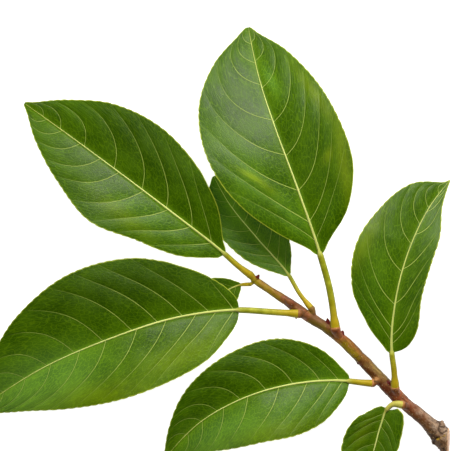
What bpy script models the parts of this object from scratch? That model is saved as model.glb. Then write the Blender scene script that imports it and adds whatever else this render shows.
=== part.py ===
"""Leafy branch picked from a strychnine tree, lying on a table and seen from above.

The scene is in metres with +Z up. The origin is on the table, under the middle of the branch's outline:
the cut knob of the twig lies towards +X -Y, and eight leaves fan out to the left, up and down from it.
Every size below is in millimetres, and add_object() scales a finished mesh to metres.

Each leaf is two solids. The stalk is the petiole and the midrib that it runs on into. The blade has a
gutter along its middle, and the midrib lies in it with a thin gap all round.
"""

import math

import bmesh
import bpy
import numpy as np
from mathutils import Vector

MILLIMETRE = 0.001

# Blade
BLADE_THICKNESS = 0.85      # upright, so about 0.75 across a sloping blade
RIB_GAP = 0.38              # between the midrib and its gutter
FOOT_GAP = 0.3              # between a petiole's foot and its leaf cushion
GUTTER_FIT = 1.08           # gutter half width over the midrib's radius and the gap
GUTTER_FLOOR = 0.6          # half width of the gutter's floor over its half width at the top
KEEL_THICKNESS = 0.8        # under the gutter's floor
GUTTER_WALL_DEPTH = 1.6     # from the gutter's top edge down to the underside
LIP = 1.4                   # least width of blade beside the gutter
COLUMNS = (0.0, 0.26, 0.56, 0.83, 1.0)          # gutter edge to margin, as fractions of that width
BETWEEN_VEINS = (0.0, 0.33, 0.67)               # rows of faces, as fractions of the way from vein to vein
BASE_ROWS = (0.0, 0.007, 0.015, 0.028, 0.045)   # rows below the lowest vein, as fractions of the midrib
LAST_ROW = 0.985
SWEEP_START = 0.04          # fraction of the midrib over which the veins take up their full sweep
TIP_ROOM = 0.3              # keeps the last veins apart where they crowd towards the tip
LAST_PLACE = 0.997          # as far along the midrib as a point of the margin goes
FOLD = 0.30                 # slope of the blade up from the midrib
DROOP = 0.06                # slope at the margin
BULGE = 0.4                 # height of the blade between two veins
TOOTH = 0.3                 # depth of the margin's teeth
WAVES = 2.3                 # undulations of the margin along a leaf
WAVE_HEIGHT = 1.1
WAVE_SHIFT = 0.2            # of a wave between the midrib and either margin
BULGE_ROOM = 15.0           # a blade narrower than this bulges and waves less
WAVE_ROOM = 20.0
TOOTH_ROOM = 8.0

# Stalk
STALK_SIDES = 8
LINE_POINTS = 800           # on a stalk's smooth middle line
FLARE_LENGTH = 5.0          # over which a petiole widens to its base
FLARE_RINGS = (0.35, 0.8)   # rings on that flare, as fractions of it
FLARE_SHAPE = 0.96          # width at the first of them, over the width of the base
NARROWING = 5.0             # over which the petiole thins to the midrib, below the blade
RIB_TIP_RADIUS = 0.36
RIB_END = 0.95              # where the midrib stops, as a fraction of the blade
STALK_STEP = 6.0            # between rings on a straight stretch
STALK_TURN = 9.0            # degrees between rings on a bend

# Half widths of a blade are given at nine places along the midrib, closer together towards its ends.
STATIONS = 9

# Each leaf: path, points (x, y, z) of the stalk's middle line from the twig to the blade's tip; blade,
# the number of the point where the blade starts; left and right, half widths seen along the path, base to
# tip; veins, where side veins leave the midrib, in percent; sweep, for either side how steeply they run
# towards the tip at first and how much they curl that way further out; base, petiole and rib, diameters of
# the petiole's foot, the petiole and the midrib where the blade starts.
LEAVES = {
    "a": dict(
        path=((18.6, -5.2, 14.6), (13.8, -1.6, 16.4), (6.6, 4.8, 18.6), (-21.5, 26.9, 24.0),
              (-48.2, 47.1, 25.0), (-75.0, 66.8, 18.5), (-93.3, 79.9, 9.0)),
        blade=2, base=3.6, petiole=2.9, rib=2.4, sweep=((0.10, 0.21), (0.10, 0.42)),
        left=(1.5, 6.8, 15.8, 22.0, 28.4, 22.2, 13.0, 3.6, 0),
        right=(1.2, 4.5, 16.5, 26.0, 30.0, 25.6, 14.2, 3.8, 0),
        veins=((6.5, 17, 28, 40, 52, 61, 71, 80, 88), (6.5, 16.5, 29, 41, 54.5, 69, 81, 90)),
    ),
    "b": dict(
        path=((61.9, -31.4, 15.6), (59.2, -13.5, 19.5), (54.3, 4.5, 23.5), (43.4, 36.4, 28.0),
              (31.0, 70.2, 25.0), (24.7, 89.8, 16.5), (18.6, 118.0, 0.85)),
        blade=2, base=4.8, petiole=3.5, rib=2.6, sweep=((0.19, 0.48), (0.12, 0.55)),
        left=(1.5, 5.1, 18.0, 31.0, 37.0, 34.0, 21.6, 6.8, 0),
        right=(1.5, 5.9, 21.0, 30.5, 31.2, 26.2, 17.0, 4.7, 0),
        veins=((5, 13.5, 27, 42, 57, 73, 83, 92), (6, 14, 27, 41.5, 56, 71.5, 84, 93)),
    ),
    "c": dict(
        path=((49.6, -22.0, 13.6), (44.6, -15.8, 12.6), (38.8, -6.0, 11.2), (22.4, 13.2, 10.4),
              (8.4, 30.7, 9.4), (1.3, 43.5, 7.0)),
        blade=2, base=3.2, petiole=2.2, rib=1.9, sweep=((0.12, 0.25), (0.12, 0.25)),
        left=(1.2, 3.0, 7.2, 11.4, 13.4, 12.6, 8.6, 3.0, 0),
        right=(1.0, 3.0, 9.0, 15.0, 17.0, 14.0, 8.0, 2.5, 0),
        veins=((8, 20, 33, 47, 62, 76, 88), (5, 15, 27, 41, 55, 70, 83)),
    ),
    "d": dict(
        path=((43.0, -25.2, 17.2), (29.5, -24.3, 18.0), (14.0, -23.4, 19.0), (-13.3, -26.3, 22.6),
              (-52.4, -38.4, 23.0), (-81.3, -50.9, 16.5), (-119.5, -75.5, 0.85)),
        blade=2, base=4.3, petiole=3.3, rib=2.5, sweep=((0.15, 0.36), (0.12, 0.17)),
        left=(1.5, 12.6, 24.7, 30.3, 30.5, 24.2, 13.0, 3.6, 0),
        right=(1.5, 11.0, 22.4, 34.2, 36.6, 28.4, 15.0, 4.6, 0),
        veins=((1.5, 7.5, 14.5, 24.7, 35, 46, 55.6, 66.5, 76.8, 86),
               (1.6, 10, 19, 27.7, 36.7, 47, 57.5, 68, 77, 86)),
    ),
    "e": dict(
        path=((18.8, -10.6, 12.4), (14.8, -10.9, 10.8), (7.0, -14.0, 9.0), (-3.0, -19.5, 8.0),
              (-20.0, -31.5, 6.5)),
        blade=1, base=2.0, petiole=1.5, rib=1.3, sweep=((0.12, 0.25), (0.12, 0.25)),
        left=(1.0, 3.8, 7.3, 9.0, 9.5, 8.5, 6.0, 2.0, 0),
        right=(1.0, 2.2, 6.0, 9.0, 9.5, 8.5, 6.0, 2.0, 0),
        veins=((6, 18, 31, 45, 60, 75, 88), (10, 24, 38, 52, 67, 81)),
    ),
    "f": dict(
        path=((79.6, -60.0, 11.0), (75.0, -59.6, 12.4), (69.0, -58.9, 14.0), (41.2, -60.2, 19.0),
              (14.7, -67.9, 20.0), (-5.4, -79.4, 14.0), (-23.0, -97.5, 5.0)),
        blade=2, base=3.6, petiole=3.1, rib=2.5, sweep=((0.13, 0.27), (0.09, 0.25)),
        left=(1.5, 11.0, 20.8, 25.4, 24.2, 20.1, 12.5, 4.0, 0),
        right=(1.5, 6.1, 16.4, 23.2, 22.6, 17.8, 9.6, 3.2, 0),
        veins=((3, 9, 20, 33.5, 48.7, 61.3, 73.6, 83), (5, 14, 26.8, 39.7, 52.5, 64.8, 74, 84)),
    ),
    "g": dict(
        path=((91.8, -61.2, 13.6), (91.3, -53.5, 16.4), (90.1, -44.5, 18.6), (91.6, -20.8, 22.0),
              (99.6, 8.9, 20.0), (109.2, 28.3, 14.5), (119.4, 41.5, 8.0)),
        blade=2, base=4.3, petiole=3.0, rib=2.4, sweep=((0.15, 0.40), (0.12, 0.45)),
        left=(1.4, 4.4, 13.0, 22.9, 26.0, 21.5, 14.2, 2.4, 0),
        right=(1.5, 8.8, 12.9, 12.6, 12.9, 11.6, 5.2, 1.5, 0),
        veins=((6, 13, 25.5, 43, 58.5, 70, 80, 90), (4.5, 9, 26, 44.5, 64, 78, 88)),
    ),
    "h": dict(
        path=((94.9, -70.7, 13.2), (91.0, -70.4, 13.8), (87.8, -72.9, 13.2), (85.0, -80.0, 12.0),
              (81.3, -93.5, 10.0), (77.5, -108.5, 7.0), (74.5, -118.5, 3.5)),
        blade=2, base=3.8, petiole=2.6, rib=2.0, sweep=((0.15, 0.30), (0.15, 0.35)),
        left=(1.5, 8.6, 11.0, 11.6, 11.2, 9.6, 6.6, 2.4, 0),
        right=(1.5, 5.4, 11.4, 15.6, 16.2, 14.0, 8.5, 3.0, 0),
        veins=((10, 19, 33, 48, 62, 75, 87), (5, 12, 24, 38, 53, 68, 82)),
    ),
}

# Twig: middle line and radius (x, y, z, radius) from its growing tip to past the oblique cut
TWIG = (
    (20.8, -7.6, 13.4, 1.7), (24.5, -10.2, 13.4, 1.9), (30.7, -14.4, 13.2, 1.95), (37.2, -18.6, 12.9, 2.3),
    (47.0, -25.6, 12.4, 2.75), (56.0, -31.2, 11.8, 2.6), (65.5, -38.3, 11.0, 2.85), (75.0, -47.7, 10.0, 3.0),
    (82.5, -55.7, 9.2, 3.1), (92.0, -65.6, 8.0, 3.4), (98.5, -71.5, 7.2, 3.25), (103.7, -75.6, 6.5, 3.4),
    (109.7, -81.0, 5.6, 3.9), (114.5, -85.6, 5.0, 5.3), (118.5, -90.0, 4.9, 5.2), (123.5, -95.5, 4.9, 4.6),
)
TWIG_SIDES = 12
TWIG_STEP = 3.4
TWIG_LUMPS = 0.025          # height of the bark's unevenness over the radius
CUT_POINT = (118.9, -88.0, 5.0)
CUT_NORMAL = (0.985, -0.05, 0.13)
REST_HEIGHT = 0.45          # what lies lower than this at the knob is level with the table

# Leaf cushions: each runs from a point inside the twig to the foot of its leaf's petiole
CUSHION_ROOTS = {
    "a": (22.0, -8.5, 13.4), "b": (64.8, -37.8, 11.1), "c": (51.6, -28.4, 12.1), "d": (48.5, -26.6, 12.3),
    "e": (22.6, -9.0, 13.3), "f": (84.4, -57.8, 8.9), "g": (93.4, -67.0, 7.8), "h": (99.5, -72.4, 7.0),
}
CUSHION_SHAPE = ((0.9, 1.02), (0.3, 1.1), (0.0, 1.0))   # radii below its end, radius there, over its radius
CUSHION_ROOT = 0.8          # radius inside the twig, over its radius
CUSHION_SIDES = 10

# Buds and scars: foot (x, y, z), direction, length, radius
BUDS = (
    ((22.7, -8.0, 14.1), (0.5, 0.85, 0.3), 3.0, 1.15),
    ((40.6, -20.4, 14.2), (-0.75, 0.5, 0.35), 5.0, 1.9),
    ((58.9, -31.4, 12.2), (-0.2, 0.85, 0.15), 4.4, 1.3),
    ((65.0, -36.0, 12.0), (0.3, 0.8, 0.2), 2.8, 1.4),
    ((43.2, -25.2, 12.2), (-0.3, -0.9, 0.1), 3.0, 1.3),
    ((74.7, -48.4, 9.8), (-0.6, -0.75, 0.1), 2.9, 1.4),
    ((83.0, -58.2, 10.6), (-0.4, -0.1, 0.9), 3.0, 1.5),
    ((89.6, -61.6, 9.6), (-0.2, 0.75, 0.6), 3.4, 1.2),
    ((93.2, -68.8, 8.6), (-0.85, -0.1, 0.4), 3.2, 1.3),
    ((113.6, -83.4, 6.4), (0.35, 0.85, 0.3), 4.8, 2.6),
    ((116.3, -85.0, 6.2), (0.8, 0.6, 0.2), 3.9, 2.7),
    ((113.5, -88.2, 4.6), (-0.45, -0.85, 0.05), 4.1, 2.3),
    ((115.4, -85.6, 8.4), (0.2, 0.1, 0.95), 2.4, 2.1),
)
BUD_PROFILE = ((-0.35, 0.7), (0.1, 1.0), (0.45, 0.88), (0.75, 0.55), (0.95, 0.2))
BUD_SIDES = 7

# Colour (sRGB), roughness
BARK = ((0.52, 0.42, 0.22), 0.75)
GREEN_STALK = ((0.64, 0.65, 0.27), 0.5)
LEAF_GREEN = ((0.28, 0.39, 0.08), 0.45)


def smooth_line(points, count):
    """count points, evenly spaced along a smooth curve through the given ones."""
    knots = np.asarray(points, float)
    at = np.concatenate([[0], np.cumsum(np.linalg.norm(np.diff(knots[:, :2], axis=0), axis=1))])
    step = np.diff(at)
    slope = np.diff(knots, axis=0) / step[:, None]
    tangent = np.zeros_like(knots)
    weighted = step[1:, None] * slope[:-1] + step[:-1, None] * slope[1:]
    tangent[1:-1] = weighted / (step[1:] + step[:-1])[:, None]
    tangent[0] = 1.5 * slope[0] - 0.5 * tangent[1]
    tangent[-1] = 1.5 * slope[-1] - 0.5 * tangent[-2]
    fine = np.linspace(0, at[-1], 1200)
    k = np.clip(np.searchsorted(at, fine, side="right") - 1, 0, len(knots) - 2)
    span = step[k][:, None]
    u = (fine - at[k])[:, None] / span
    curve = (
        (2 * u**3 - 3 * u**2 + 1) * knots[k] + (u**3 - 2 * u**2 + u) * span * tangent[k]
        + (3 * u**2 - 2 * u**3) * knots[k + 1] + (u**3 - u**2) * span * tangent[k + 1]
    )
    length = np.concatenate([[0], np.cumsum(np.linalg.norm(np.diff(curve, axis=0), axis=1))])
    wanted = np.linspace(0, length[-1], count)
    return np.stack([np.interp(wanted, length, curve[:, axis]) for axis in range(curve.shape[1])], axis=1)


def frames(along):
    """Unit along, level sideways (to the left) and up directions from directions along a line."""
    along = along / np.linalg.norm(along, axis=1)[:, None]
    side = np.stack([-along[:, 1], along[:, 0], np.zeros(len(along))], axis=1)
    side /= np.linalg.norm(side, axis=1)[:, None]
    return along, side, np.cross(along, side)


def tube(line, radii, sides, headings=None):
    """Points and faces of a closed tube round a line, its rings square to the line or to the headings."""
    line = np.asarray(line, float)
    _, side, up = frames(np.gradient(line, axis=0) if headings is None else headings)
    angles = (np.arange(sides) + 0.5) * 2 * math.pi / sides
    radii = np.broadcast_to(np.asarray(radii, float).reshape(len(line), -1), (len(line), sides))
    ring = radii[:, :, None] * (
        np.cos(angles)[None, :, None] * side[:, None] + np.sin(angles)[None, :, None] * up[:, None]
    )
    points = (line[:, None] + ring).reshape(-1, 3)
    faces = []
    for row in range(len(line) - 1):
        for k in range(sides):
            a, b = row * sides + k, row * sides + (k + 1) % sides
            faces += [(a, b, b + sides), (a, b + sides, a + sides)]
    faces += [tuple(range(sides))[::-1], tuple(len(points) - sides + k for k in range(sides))]
    return points, faces


def shell(upper, depths, faces):
    """A thin closed solid: the upper sheet, the same sheet that far below it, and walls round the edge."""
    count = len(upper)
    lower = upper - np.outer(depths, (0, 0, 1))
    edges = {(face[k], face[(k + 1) % 3]) for face in faces for k in range(3)}
    walls = []
    for a, b in edges:
        if (b, a) not in edges:
            walls += [(b, a, a + count), (b, a + count, b + count)]
    under = [tuple(corner + count for corner in face[::-1]) for face in faces]
    return np.concatenate([upper, lower]), [*faces, *under, *sorted(walls)]


def half_width(widths, s):
    """Half width of a blade at fraction s of its midrib, a smooth curve through the given widths."""
    place = np.arccos(1 - 2 * np.clip(s, 0, 1)) / math.pi * (STATIONS - 1)
    k = np.clip(place.astype(int), 0, STATIONS - 2)
    u = place - k
    padded = np.concatenate([[2 * widths[0] - widths[1]], widths, [-widths[-2]]])
    w0, w1, w2, w3 = (padded[k + shift] for shift in range(4))
    curve = w1 + 0.5 * u * (w2 - w0 + u * (2 * w0 - 5 * w1 + 4 * w2 - w3 + u * (3 * (w1 - w2) + w3 - w0)))
    return np.maximum(curve, 0)


def swept(starts, v, sweep):
    """Where veins that leave the midrib at starts are along it, a fraction v of the way to the margin."""
    slope, curl = sweep
    run = slope * v + curl * v**3 * (1.2 - 0.45 * v**3)
    reach = (1 - np.exp(-starts / SWEEP_START)) / (1 - starts + TIP_ROOM * starts**8)
    return np.minimum(1 - (1 - starts) * np.exp(-reach * run), LAST_PLACE)


def stalk_parts(leaf):
    """The stalk's line as many points, and the number of the one where the blade starts."""
    line = smooth_line(leaf["path"], LINE_POINTS)
    start = np.asarray(leaf["path"][leaf["blade"]])
    return line, int(np.argmin(np.linalg.norm(line - start, axis=1)))


def rib_radius(leaf, s):
    """Radius of the midrib at fraction s of the blade."""
    return RIB_TIP_RADIUS + (leaf["rib"] / 2 - RIB_TIP_RADIUS) * np.maximum(1 - s, 0) ** 1.2


def gutter_width(leaf, s):
    """Half width of the blade's gutter at fraction s of the midrib."""
    return GUTTER_FIT * (rib_radius(leaf, s) + RIB_GAP)


def build_stalk(leaf):
    """Petiole and midrib in one: flared at its foot, round, and thinning all the way to the blade's tip."""
    line, first = stalk_parts(leaf)
    length = np.concatenate([[0], np.cumsum(np.linalg.norm(np.diff(line, axis=0), axis=1))])
    below = length - length[first]
    foot = below[0]
    along, _, _ = frames(np.gradient(line, axis=0))
    turn = np.degrees(np.arccos(np.clip(np.sum(along[1:] * along[:-1], axis=1), -1, 1)))
    effort = length / STALK_STEP + np.concatenate([[0], np.cumsum(turn)]) / STALK_TURN
    last = np.interp(RIB_END * below[-1], below, effort)
    wanted = np.interp(np.linspace(0, last, math.ceil(last) + 1), effort, below)
    near_foot = foot + FLARE_LENGTH * np.array(FLARE_RINGS)
    wanted = np.unique(np.concatenate([wanted[:1], near_foot, wanted[wanted > near_foot[-1] + 1]]))
    path = np.stack([np.interp(wanted, below, line[:, axis]) for axis in range(3)], axis=1)
    flared = foot + FLARE_LENGTH
    widths = leaf["base"], FLARE_SHAPE * leaf["base"], leaf["petiole"], leaf["petiole"], leaf["rib"]
    places = foot, near_foot[0], flared, max(-NARROWING, flared), 0
    outside = np.interp(wanted, places, np.array(widths) / 2)
    inside = rib_radius(leaf, wanted / below[-1])
    return tube(path, np.where(wanted < 0, outside, inside), STALK_SIDES)


def side_rows(veins):
    """Where the rows of faces of one side leave the midrib, and how far each is from vein to vein."""
    knots = [0.0, *(percent / 100 for percent in veins), LAST_ROW]
    starts = [s for s in BASE_ROWS if s < 0.8 * knots[1]]
    rows = [(s, s / knots[1]) for s in starts]
    for vein, following in zip(knots[1:], knots[2:]):
        rows += [(vein + part * (following - vein), part) for part in BETWEEN_VEINS]
    rows.append((LAST_ROW, 0.0))
    return np.array(rows).T


def build_blade(leaf):
    """Blade with its outline, its gutter for the midrib and its swept, bulging fields between the veins."""
    line, first = stalk_parts(leaf)
    rib = line[first:]
    _, side, up = frames(np.gradient(rib, axis=0))
    along = np.linspace(0, 1, len(rib))

    def on_rib(s, values):
        return np.stack([np.interp(s, along, values[:, axis]) for axis in range(3)], axis=-1)

    upper, depths, faces, floors = [], [], [], []
    sides = zip((1, -1), (leaf["left"], leaf["right"]), leaf["veins"], leaf["sweep"])
    for direction, widths, veins, sweep in sides:
        starts, between = side_rows(veins)
        v = np.array(COLUMNS)
        s = swept(starts[:, None], v, sweep)
        full = np.maximum(half_width(widths, s), gutter_width(leaf, s) + LIP * (1 - s) ** 0.5)
        full[:, -1] += TOOTH * np.where(between > 0, 0.5, -0.5) * np.minimum(1, full[:, -1] / TOOTH_ROOM)
        edge = np.minimum(gutter_width(leaf, s), 0.55 * full)
        beyond = v * (full - edge)
        out = edge + beyond
        room = full - edge
        height = FOLD * beyond + (DROOP - FOLD) * beyond**2 / (2 * room)
        bulge = np.sin(math.pi * between)[:, None] * (4 * v * (1 - v)) ** 0.7
        height += BULGE * bulge * np.minimum(1, room / BULGE_ROOM)
        wave = np.sin(2 * math.pi * (WAVES * s + WAVE_SHIFT * direction)) * v**2
        height += WAVE_HEIGHT * wave * np.minimum(1, room / WAVE_ROOM)
        top = on_rib(s, rib) + direction * out[:, :, None] * on_rib(s, side)
        top[:, :, 2] += height
        half = edge[:, 0]
        floor = (
            on_rib(starts, rib) + direction * GUTTER_FLOOR * half[:, None] * on_rib(starts, side)
            - half[:, None] * on_rib(starts, up)
        )
        grid = np.concatenate([floor[:, None], top], axis=1)
        rows, columns = grid.shape[:2]
        number = sum(len(part) for part in upper) + np.arange(rows * columns).reshape(rows, columns)
        upper.append(grid.reshape(-1, 3))
        depth = np.full((rows, columns), BLADE_THICKNESS)
        depth[:, 0] = KEEL_THICKNESS
        depth[:, 1] = GUTTER_WALL_DEPTH
        depths.append(depth.reshape(-1))
        quads = np.stack([number[:-1, :-1], number[1:, :-1], number[1:, 1:], number[:-1, 1:]], axis=-1)
        places = np.concatenate(upper)
        for a, b, c, d in quads.reshape(-1, 4).tolist():
            straight = np.linalg.norm(places[a] - places[c]) < np.linalg.norm(places[b] - places[d])
            pair = [(a, b, c), (a, c, d)] if straight else [(a, b, d), (b, c, d)]
            faces += pair if direction > 0 else [face[::-1] for face in pair]
        floors.append((starts, number))

    (left_starts, left), (right_starts, right) = floors
    i = j = 0
    while i < len(left_starts) - 1 or j < len(right_starts) - 1:
        left_done, right_done = i == len(left_starts) - 1, j == len(right_starts) - 1
        here, there = int(left[i, 0]), int(right[j, 0])
        if right_done or (not left_done and left_starts[i + 1] <= right_starts[j + 1]):
            faces.append((here, there, int(left[i + 1, 0])))
            i += 1
        else:
            faces.append((here, there, int(right[j + 1, 0])))
            j += 1

    tip = sum(len(part) for part in upper)
    upper.append(rib[-1:])
    depths.append(np.array([BLADE_THICKNESS]))
    last = [*left[-1, ::-1].tolist(), *right[-1].tolist()]
    faces += [(tip, a, b) for a, b in zip(last, last[1:])]
    return shell(np.concatenate(upper), np.concatenate(depths), faces)


def build_twig_wood():
    """The bare twig: uneven round wood that swells at its nodes and at the knob, before it is cut off."""
    knots = smooth_line(TWIG, 400)
    length = np.concatenate([[0], np.cumsum(np.linalg.norm(np.diff(knots[:, :3], axis=0), axis=1))])
    wanted = np.linspace(0, length[-1], round(length[-1] / TWIG_STEP))
    line = np.stack([np.interp(wanted, length, knots[:, axis]) for axis in range(4)], axis=1)
    angles = (np.arange(TWIG_SIDES) + 0.5) * 2 * math.pi / TWIG_SIDES
    run = wanted[:, None]
    lumps = np.sin(0.55 * run + 2 * angles) + 0.7 * np.sin(0.9 * run - 3 * angles + 1)
    lumps += 0.5 * np.sin(1.7 * run)
    return tube(line[:, :3], line[:, 3:] * (1 + TWIG_LUMPS * lumps), TWIG_SIDES)


def build_cushion(leaf, root):
    """Short stub of the twig that a petiole sits on, ending flat just before the petiole's foot."""
    line, _ = stalk_parts(leaf)
    foot = line[0]
    along = (line[3] - line[0]) / np.linalg.norm(line[3] - line[0])
    end = foot - FOOT_GAP * along
    radius = leaf["base"] / 2
    below, widths = np.array(CUSHION_SHAPE).T
    path = np.array([root, *(end - np.outer(below * radius, along))])
    headings = np.array([end - root, along, along, along])
    return tube(path, radius * np.array([CUSHION_ROOT, *widths]), CUSHION_SIDES, headings)


def build_bud(foot, direction, length, radius):
    """Small pointed bud, or the low mound of a scar."""
    direction = np.asarray(direction) / np.linalg.norm(direction)
    profile = np.array(BUD_PROFILE)
    line = np.asarray(foot) + np.outer(profile[:, 0] * length, direction)
    return tube(line, profile[:, 1] * radius, BUD_SIDES)


def material(name, colour, roughness):
    made = bpy.data.materials.new(name)
    made.use_nodes = True
    shader = made.node_tree.nodes["Principled BSDF"]
    linear = [value / 12.92 if value < 0.04045 else ((value + 0.055) / 1.055) ** 2.4 for value in colour]
    shader.inputs["Base Color"].default_value = (*linear, 1)
    shader.inputs["Roughness"].default_value = roughness
    shader.inputs["Metallic"].default_value = 0
    return made


def add_object(name, points, faces, surface, origin=(0, 0, 0)):
    """An object in metres from a mesh in millimetres, its origin at the given point."""
    mesh = bpy.data.meshes.new(name)
    mesh.from_pydata(((np.asarray(points) - origin) * MILLIMETRE).tolist(), [], faces)
    mesh.update()
    mesh.shade_smooth()
    mesh.set_sharp_from_angle(angle=math.radians(45))
    if surface:
        mesh.materials.append(surface)
    made = bpy.data.objects.new(name, mesh)
    made.location = Vector(origin) * MILLIMETRE
    bpy.context.scene.collection.objects.link(made)
    return made


def cut_and_level(twig):
    """Cuts the knob off along the oblique plane, and gives it the flat spot that it rests on."""
    editing = bmesh.new()
    editing.from_mesh(twig.data)
    plane = Vector(CUT_NORMAL).normalized()
    everything = editing.verts[:] + editing.edges[:] + editing.faces[:]
    through = Vector(CUT_POINT) * MILLIMETRE
    cut = bmesh.ops.bisect_plane(
        editing, geom=everything, dist=1e-6, plane_co=through, plane_no=plane, clear_outer=True
    )
    rim = [part for part in cut["geom_cut"] if isinstance(part, bmesh.types.BMEdge)]
    bmesh.ops.edgeloop_fill(editing, edges=rim)
    for vertex in editing.verts:
        if vertex.co.z < REST_HEIGHT * MILLIMETRE:
            vertex.co.z = 0
    bmesh.ops.recalc_face_normals(editing, faces=editing.faces[:])
    editing.to_mesh(twig.data)
    editing.free()


def join(target, pieces):
    """Boolean union of the pieces into the target, applied."""
    group = bpy.data.collections.new("joined")
    bpy.context.scene.collection.children.link(group)
    for piece in pieces:
        bpy.context.scene.collection.objects.unlink(piece)
        group.objects.link(piece)
    union = target.modifiers.new("join", "BOOLEAN")
    union.operation = "UNION"
    union.operand_type = "COLLECTION"
    union.collection = group
    union.solver = "MANIFOLD"
    bpy.context.view_layer.objects.active = target
    target.select_set(True)
    bpy.ops.object.modifier_apply(modifier=union.name)
    for piece in pieces:
        bpy.data.objects.remove(piece)
    bpy.data.collections.remove(group)


for old in list(bpy.data.objects):
    bpy.data.objects.remove(old)

bark = material("bark", *BARK)
green_stalk = material("green_stalk", *GREEN_STALK)
leaf_green = material("leaf_green", *LEAF_GREEN)

for letter, leaf in LEAVES.items():
    foot = leaf["path"][0]
    add_object(f"leaf_{letter}_stalk", *build_stalk(leaf), green_stalk, foot)
    add_object(f"leaf_{letter}_blade", *build_blade(leaf), leaf_green, leaf["path"][leaf["blade"]])

twig = add_object("twig", *build_twig_wood(), bark)
cut_and_level(twig)
cushions = [
    add_object(f"cushion_{letter}", *build_cushion(LEAVES[letter], root), bark)
    for letter, root in CUSHION_ROOTS.items()
]
buds = [add_object(f"bud_{k}", *build_bud(*bud), bark) for k, bud in enumerate(BUDS)]
join(twig, cushions + buds)
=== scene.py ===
# %% [markdown]
# A leafy branch on a white table
#
# The branch has one woody twig and eight leaves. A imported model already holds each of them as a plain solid:
# `twig`, and a `_stalk` and a `_blade` for each leaf. This script dresses that model. Every piece made here
# stands where its solid stands, in metres, and takes the solid's place in the picture.

# %% Load the model and keep its box
import math

import bmesh
import bpy
import numpy as np
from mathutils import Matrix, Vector, noise


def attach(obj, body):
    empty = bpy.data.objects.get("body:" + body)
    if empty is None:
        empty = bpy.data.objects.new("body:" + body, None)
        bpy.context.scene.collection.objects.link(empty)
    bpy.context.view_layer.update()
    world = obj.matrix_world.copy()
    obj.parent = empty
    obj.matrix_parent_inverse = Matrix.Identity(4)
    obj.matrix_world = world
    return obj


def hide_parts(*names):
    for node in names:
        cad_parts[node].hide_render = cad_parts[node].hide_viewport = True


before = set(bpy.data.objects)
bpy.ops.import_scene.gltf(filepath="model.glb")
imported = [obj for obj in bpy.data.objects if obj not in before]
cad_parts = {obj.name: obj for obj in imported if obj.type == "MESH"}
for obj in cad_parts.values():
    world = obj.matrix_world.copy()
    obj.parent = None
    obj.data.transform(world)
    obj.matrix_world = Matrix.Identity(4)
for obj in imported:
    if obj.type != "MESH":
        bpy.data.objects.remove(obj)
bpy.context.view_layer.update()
MM = 0.001


# %% [markdown]
# The camera and the lights
#
# A branch that lies on a table is drawn from straight above. A long lens far away keeps the leaves that arch
# up towards it from looking larger than the ones that lie low, as a scanner or a copy stand would show them.

# %% Camera straight above
# In millimetres: how much of the table the picture shows across, its middle, and the camera's height
PICTURE_WIDTH = 226.0
PICTURE_CENTRE = (7.5, 18.75)
CAMERA_HEIGHT = 5600.0

camera = bpy.data.objects.new("camera", bpy.data.cameras.new("camera"))
camera.data.sensor_width = 36.0
camera.data.lens = camera.data.sensor_width * CAMERA_HEIGHT / PICTURE_WIDTH
camera.data.clip_start = 0.1
camera.data.clip_end = 50.0
camera.location = Vector((*PICTURE_CENTRE, CAMERA_HEIGHT)) * MM
bpy.context.scene.collection.objects.link(camera)
bpy.context.scene.camera = camera
print("lens:", round(camera.data.lens), "mm")

# %% [markdown]
# One large softbox past the top of the picture, a little to its right, gives the leaves their form: each half
# blade that slopes towards it picks up a pale sheen, and the half that slopes away keeps its deep green. A
# weaker lamp overhead and a pale ring of sky low round the table fill the shadows. The sky above stays dark,
# because glossy leaves that lie flat mirror it straight into the camera and would turn grey.

# %% Lamps and sky
SCENE = bpy.context.scene
SCENE.view_settings.view_transform = "Standard"
SCENE.view_settings.look = "None"


def softbox(name, place, size, watts, colour):
    """A square area lamp, in metres, that faces the middle of the branch."""
    lamp = bpy.data.objects.new(name, bpy.data.lights.new(name, "AREA"))
    lamp.data.shape = "SQUARE"
    lamp.data.size = size
    lamp.data.energy = watts
    lamp.data.color = colour
    lamp.location = place
    lamp.rotation_euler = (-Vector(place)).to_track_quat("-Z", "Y").to_euler()
    SCENE.collection.objects.link(lamp)
    return lamp


key = softbox("key_softbox", place=(0.31, 0.96, 0.91), size=0.9, watts=21.5, colour=(1, 0.97, 0.9))
top = softbox("overhead_fill", place=(-0.3, 0.0, 1.6), size=0.9, watts=6.0, colour=(1, 0.98, 0.92))
top.visible_glossy = False

# How bright the sky is low down and overhead, and how high (0 level, 1 straight up) it starts and ends to dim
SKY_HORIZON = 0.3
SKY_ZENITH = 0.02
DIM_FROM = 0.15
DIM_TO = 0.6
sky = bpy.data.worlds.new("sky")
sky.use_nodes = True
SCENE.world = sky
sky_nodes = sky.node_tree.nodes
direction = sky_nodes.new("ShaderNodeTexCoord")
height = sky_nodes.new("ShaderNodeSeparateXYZ")
fade = sky_nodes.new("ShaderNodeMapRange")
fade.inputs["From Min"].default_value = DIM_FROM
fade.inputs["From Max"].default_value = DIM_TO
fade.inputs["To Min"].default_value = SKY_HORIZON
fade.inputs["To Max"].default_value = SKY_ZENITH
sky.node_tree.links.new(direction.outputs["Generated"], height.inputs[0])
sky.node_tree.links.new(height.outputs["Z"], fade.inputs["Value"])
sky.node_tree.links.new(fade.outputs[0], sky_nodes["Background"].inputs["Strength"])
print("lamps:", key.name, top.name)

# %% [markdown]
# Materials are node trees, and a few small helpers keep them short. `node` adds a node and fills its
# sockets, `soft_step` turns a pair of thresholds into a smooth rise, `mixed` mixes two colours, and
# `attribute` reads a number that each point of a mesh carries. Colours are written as they look on a screen,
# from 0 to 255, and changed to the linear values that the renderer counts in.

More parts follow.
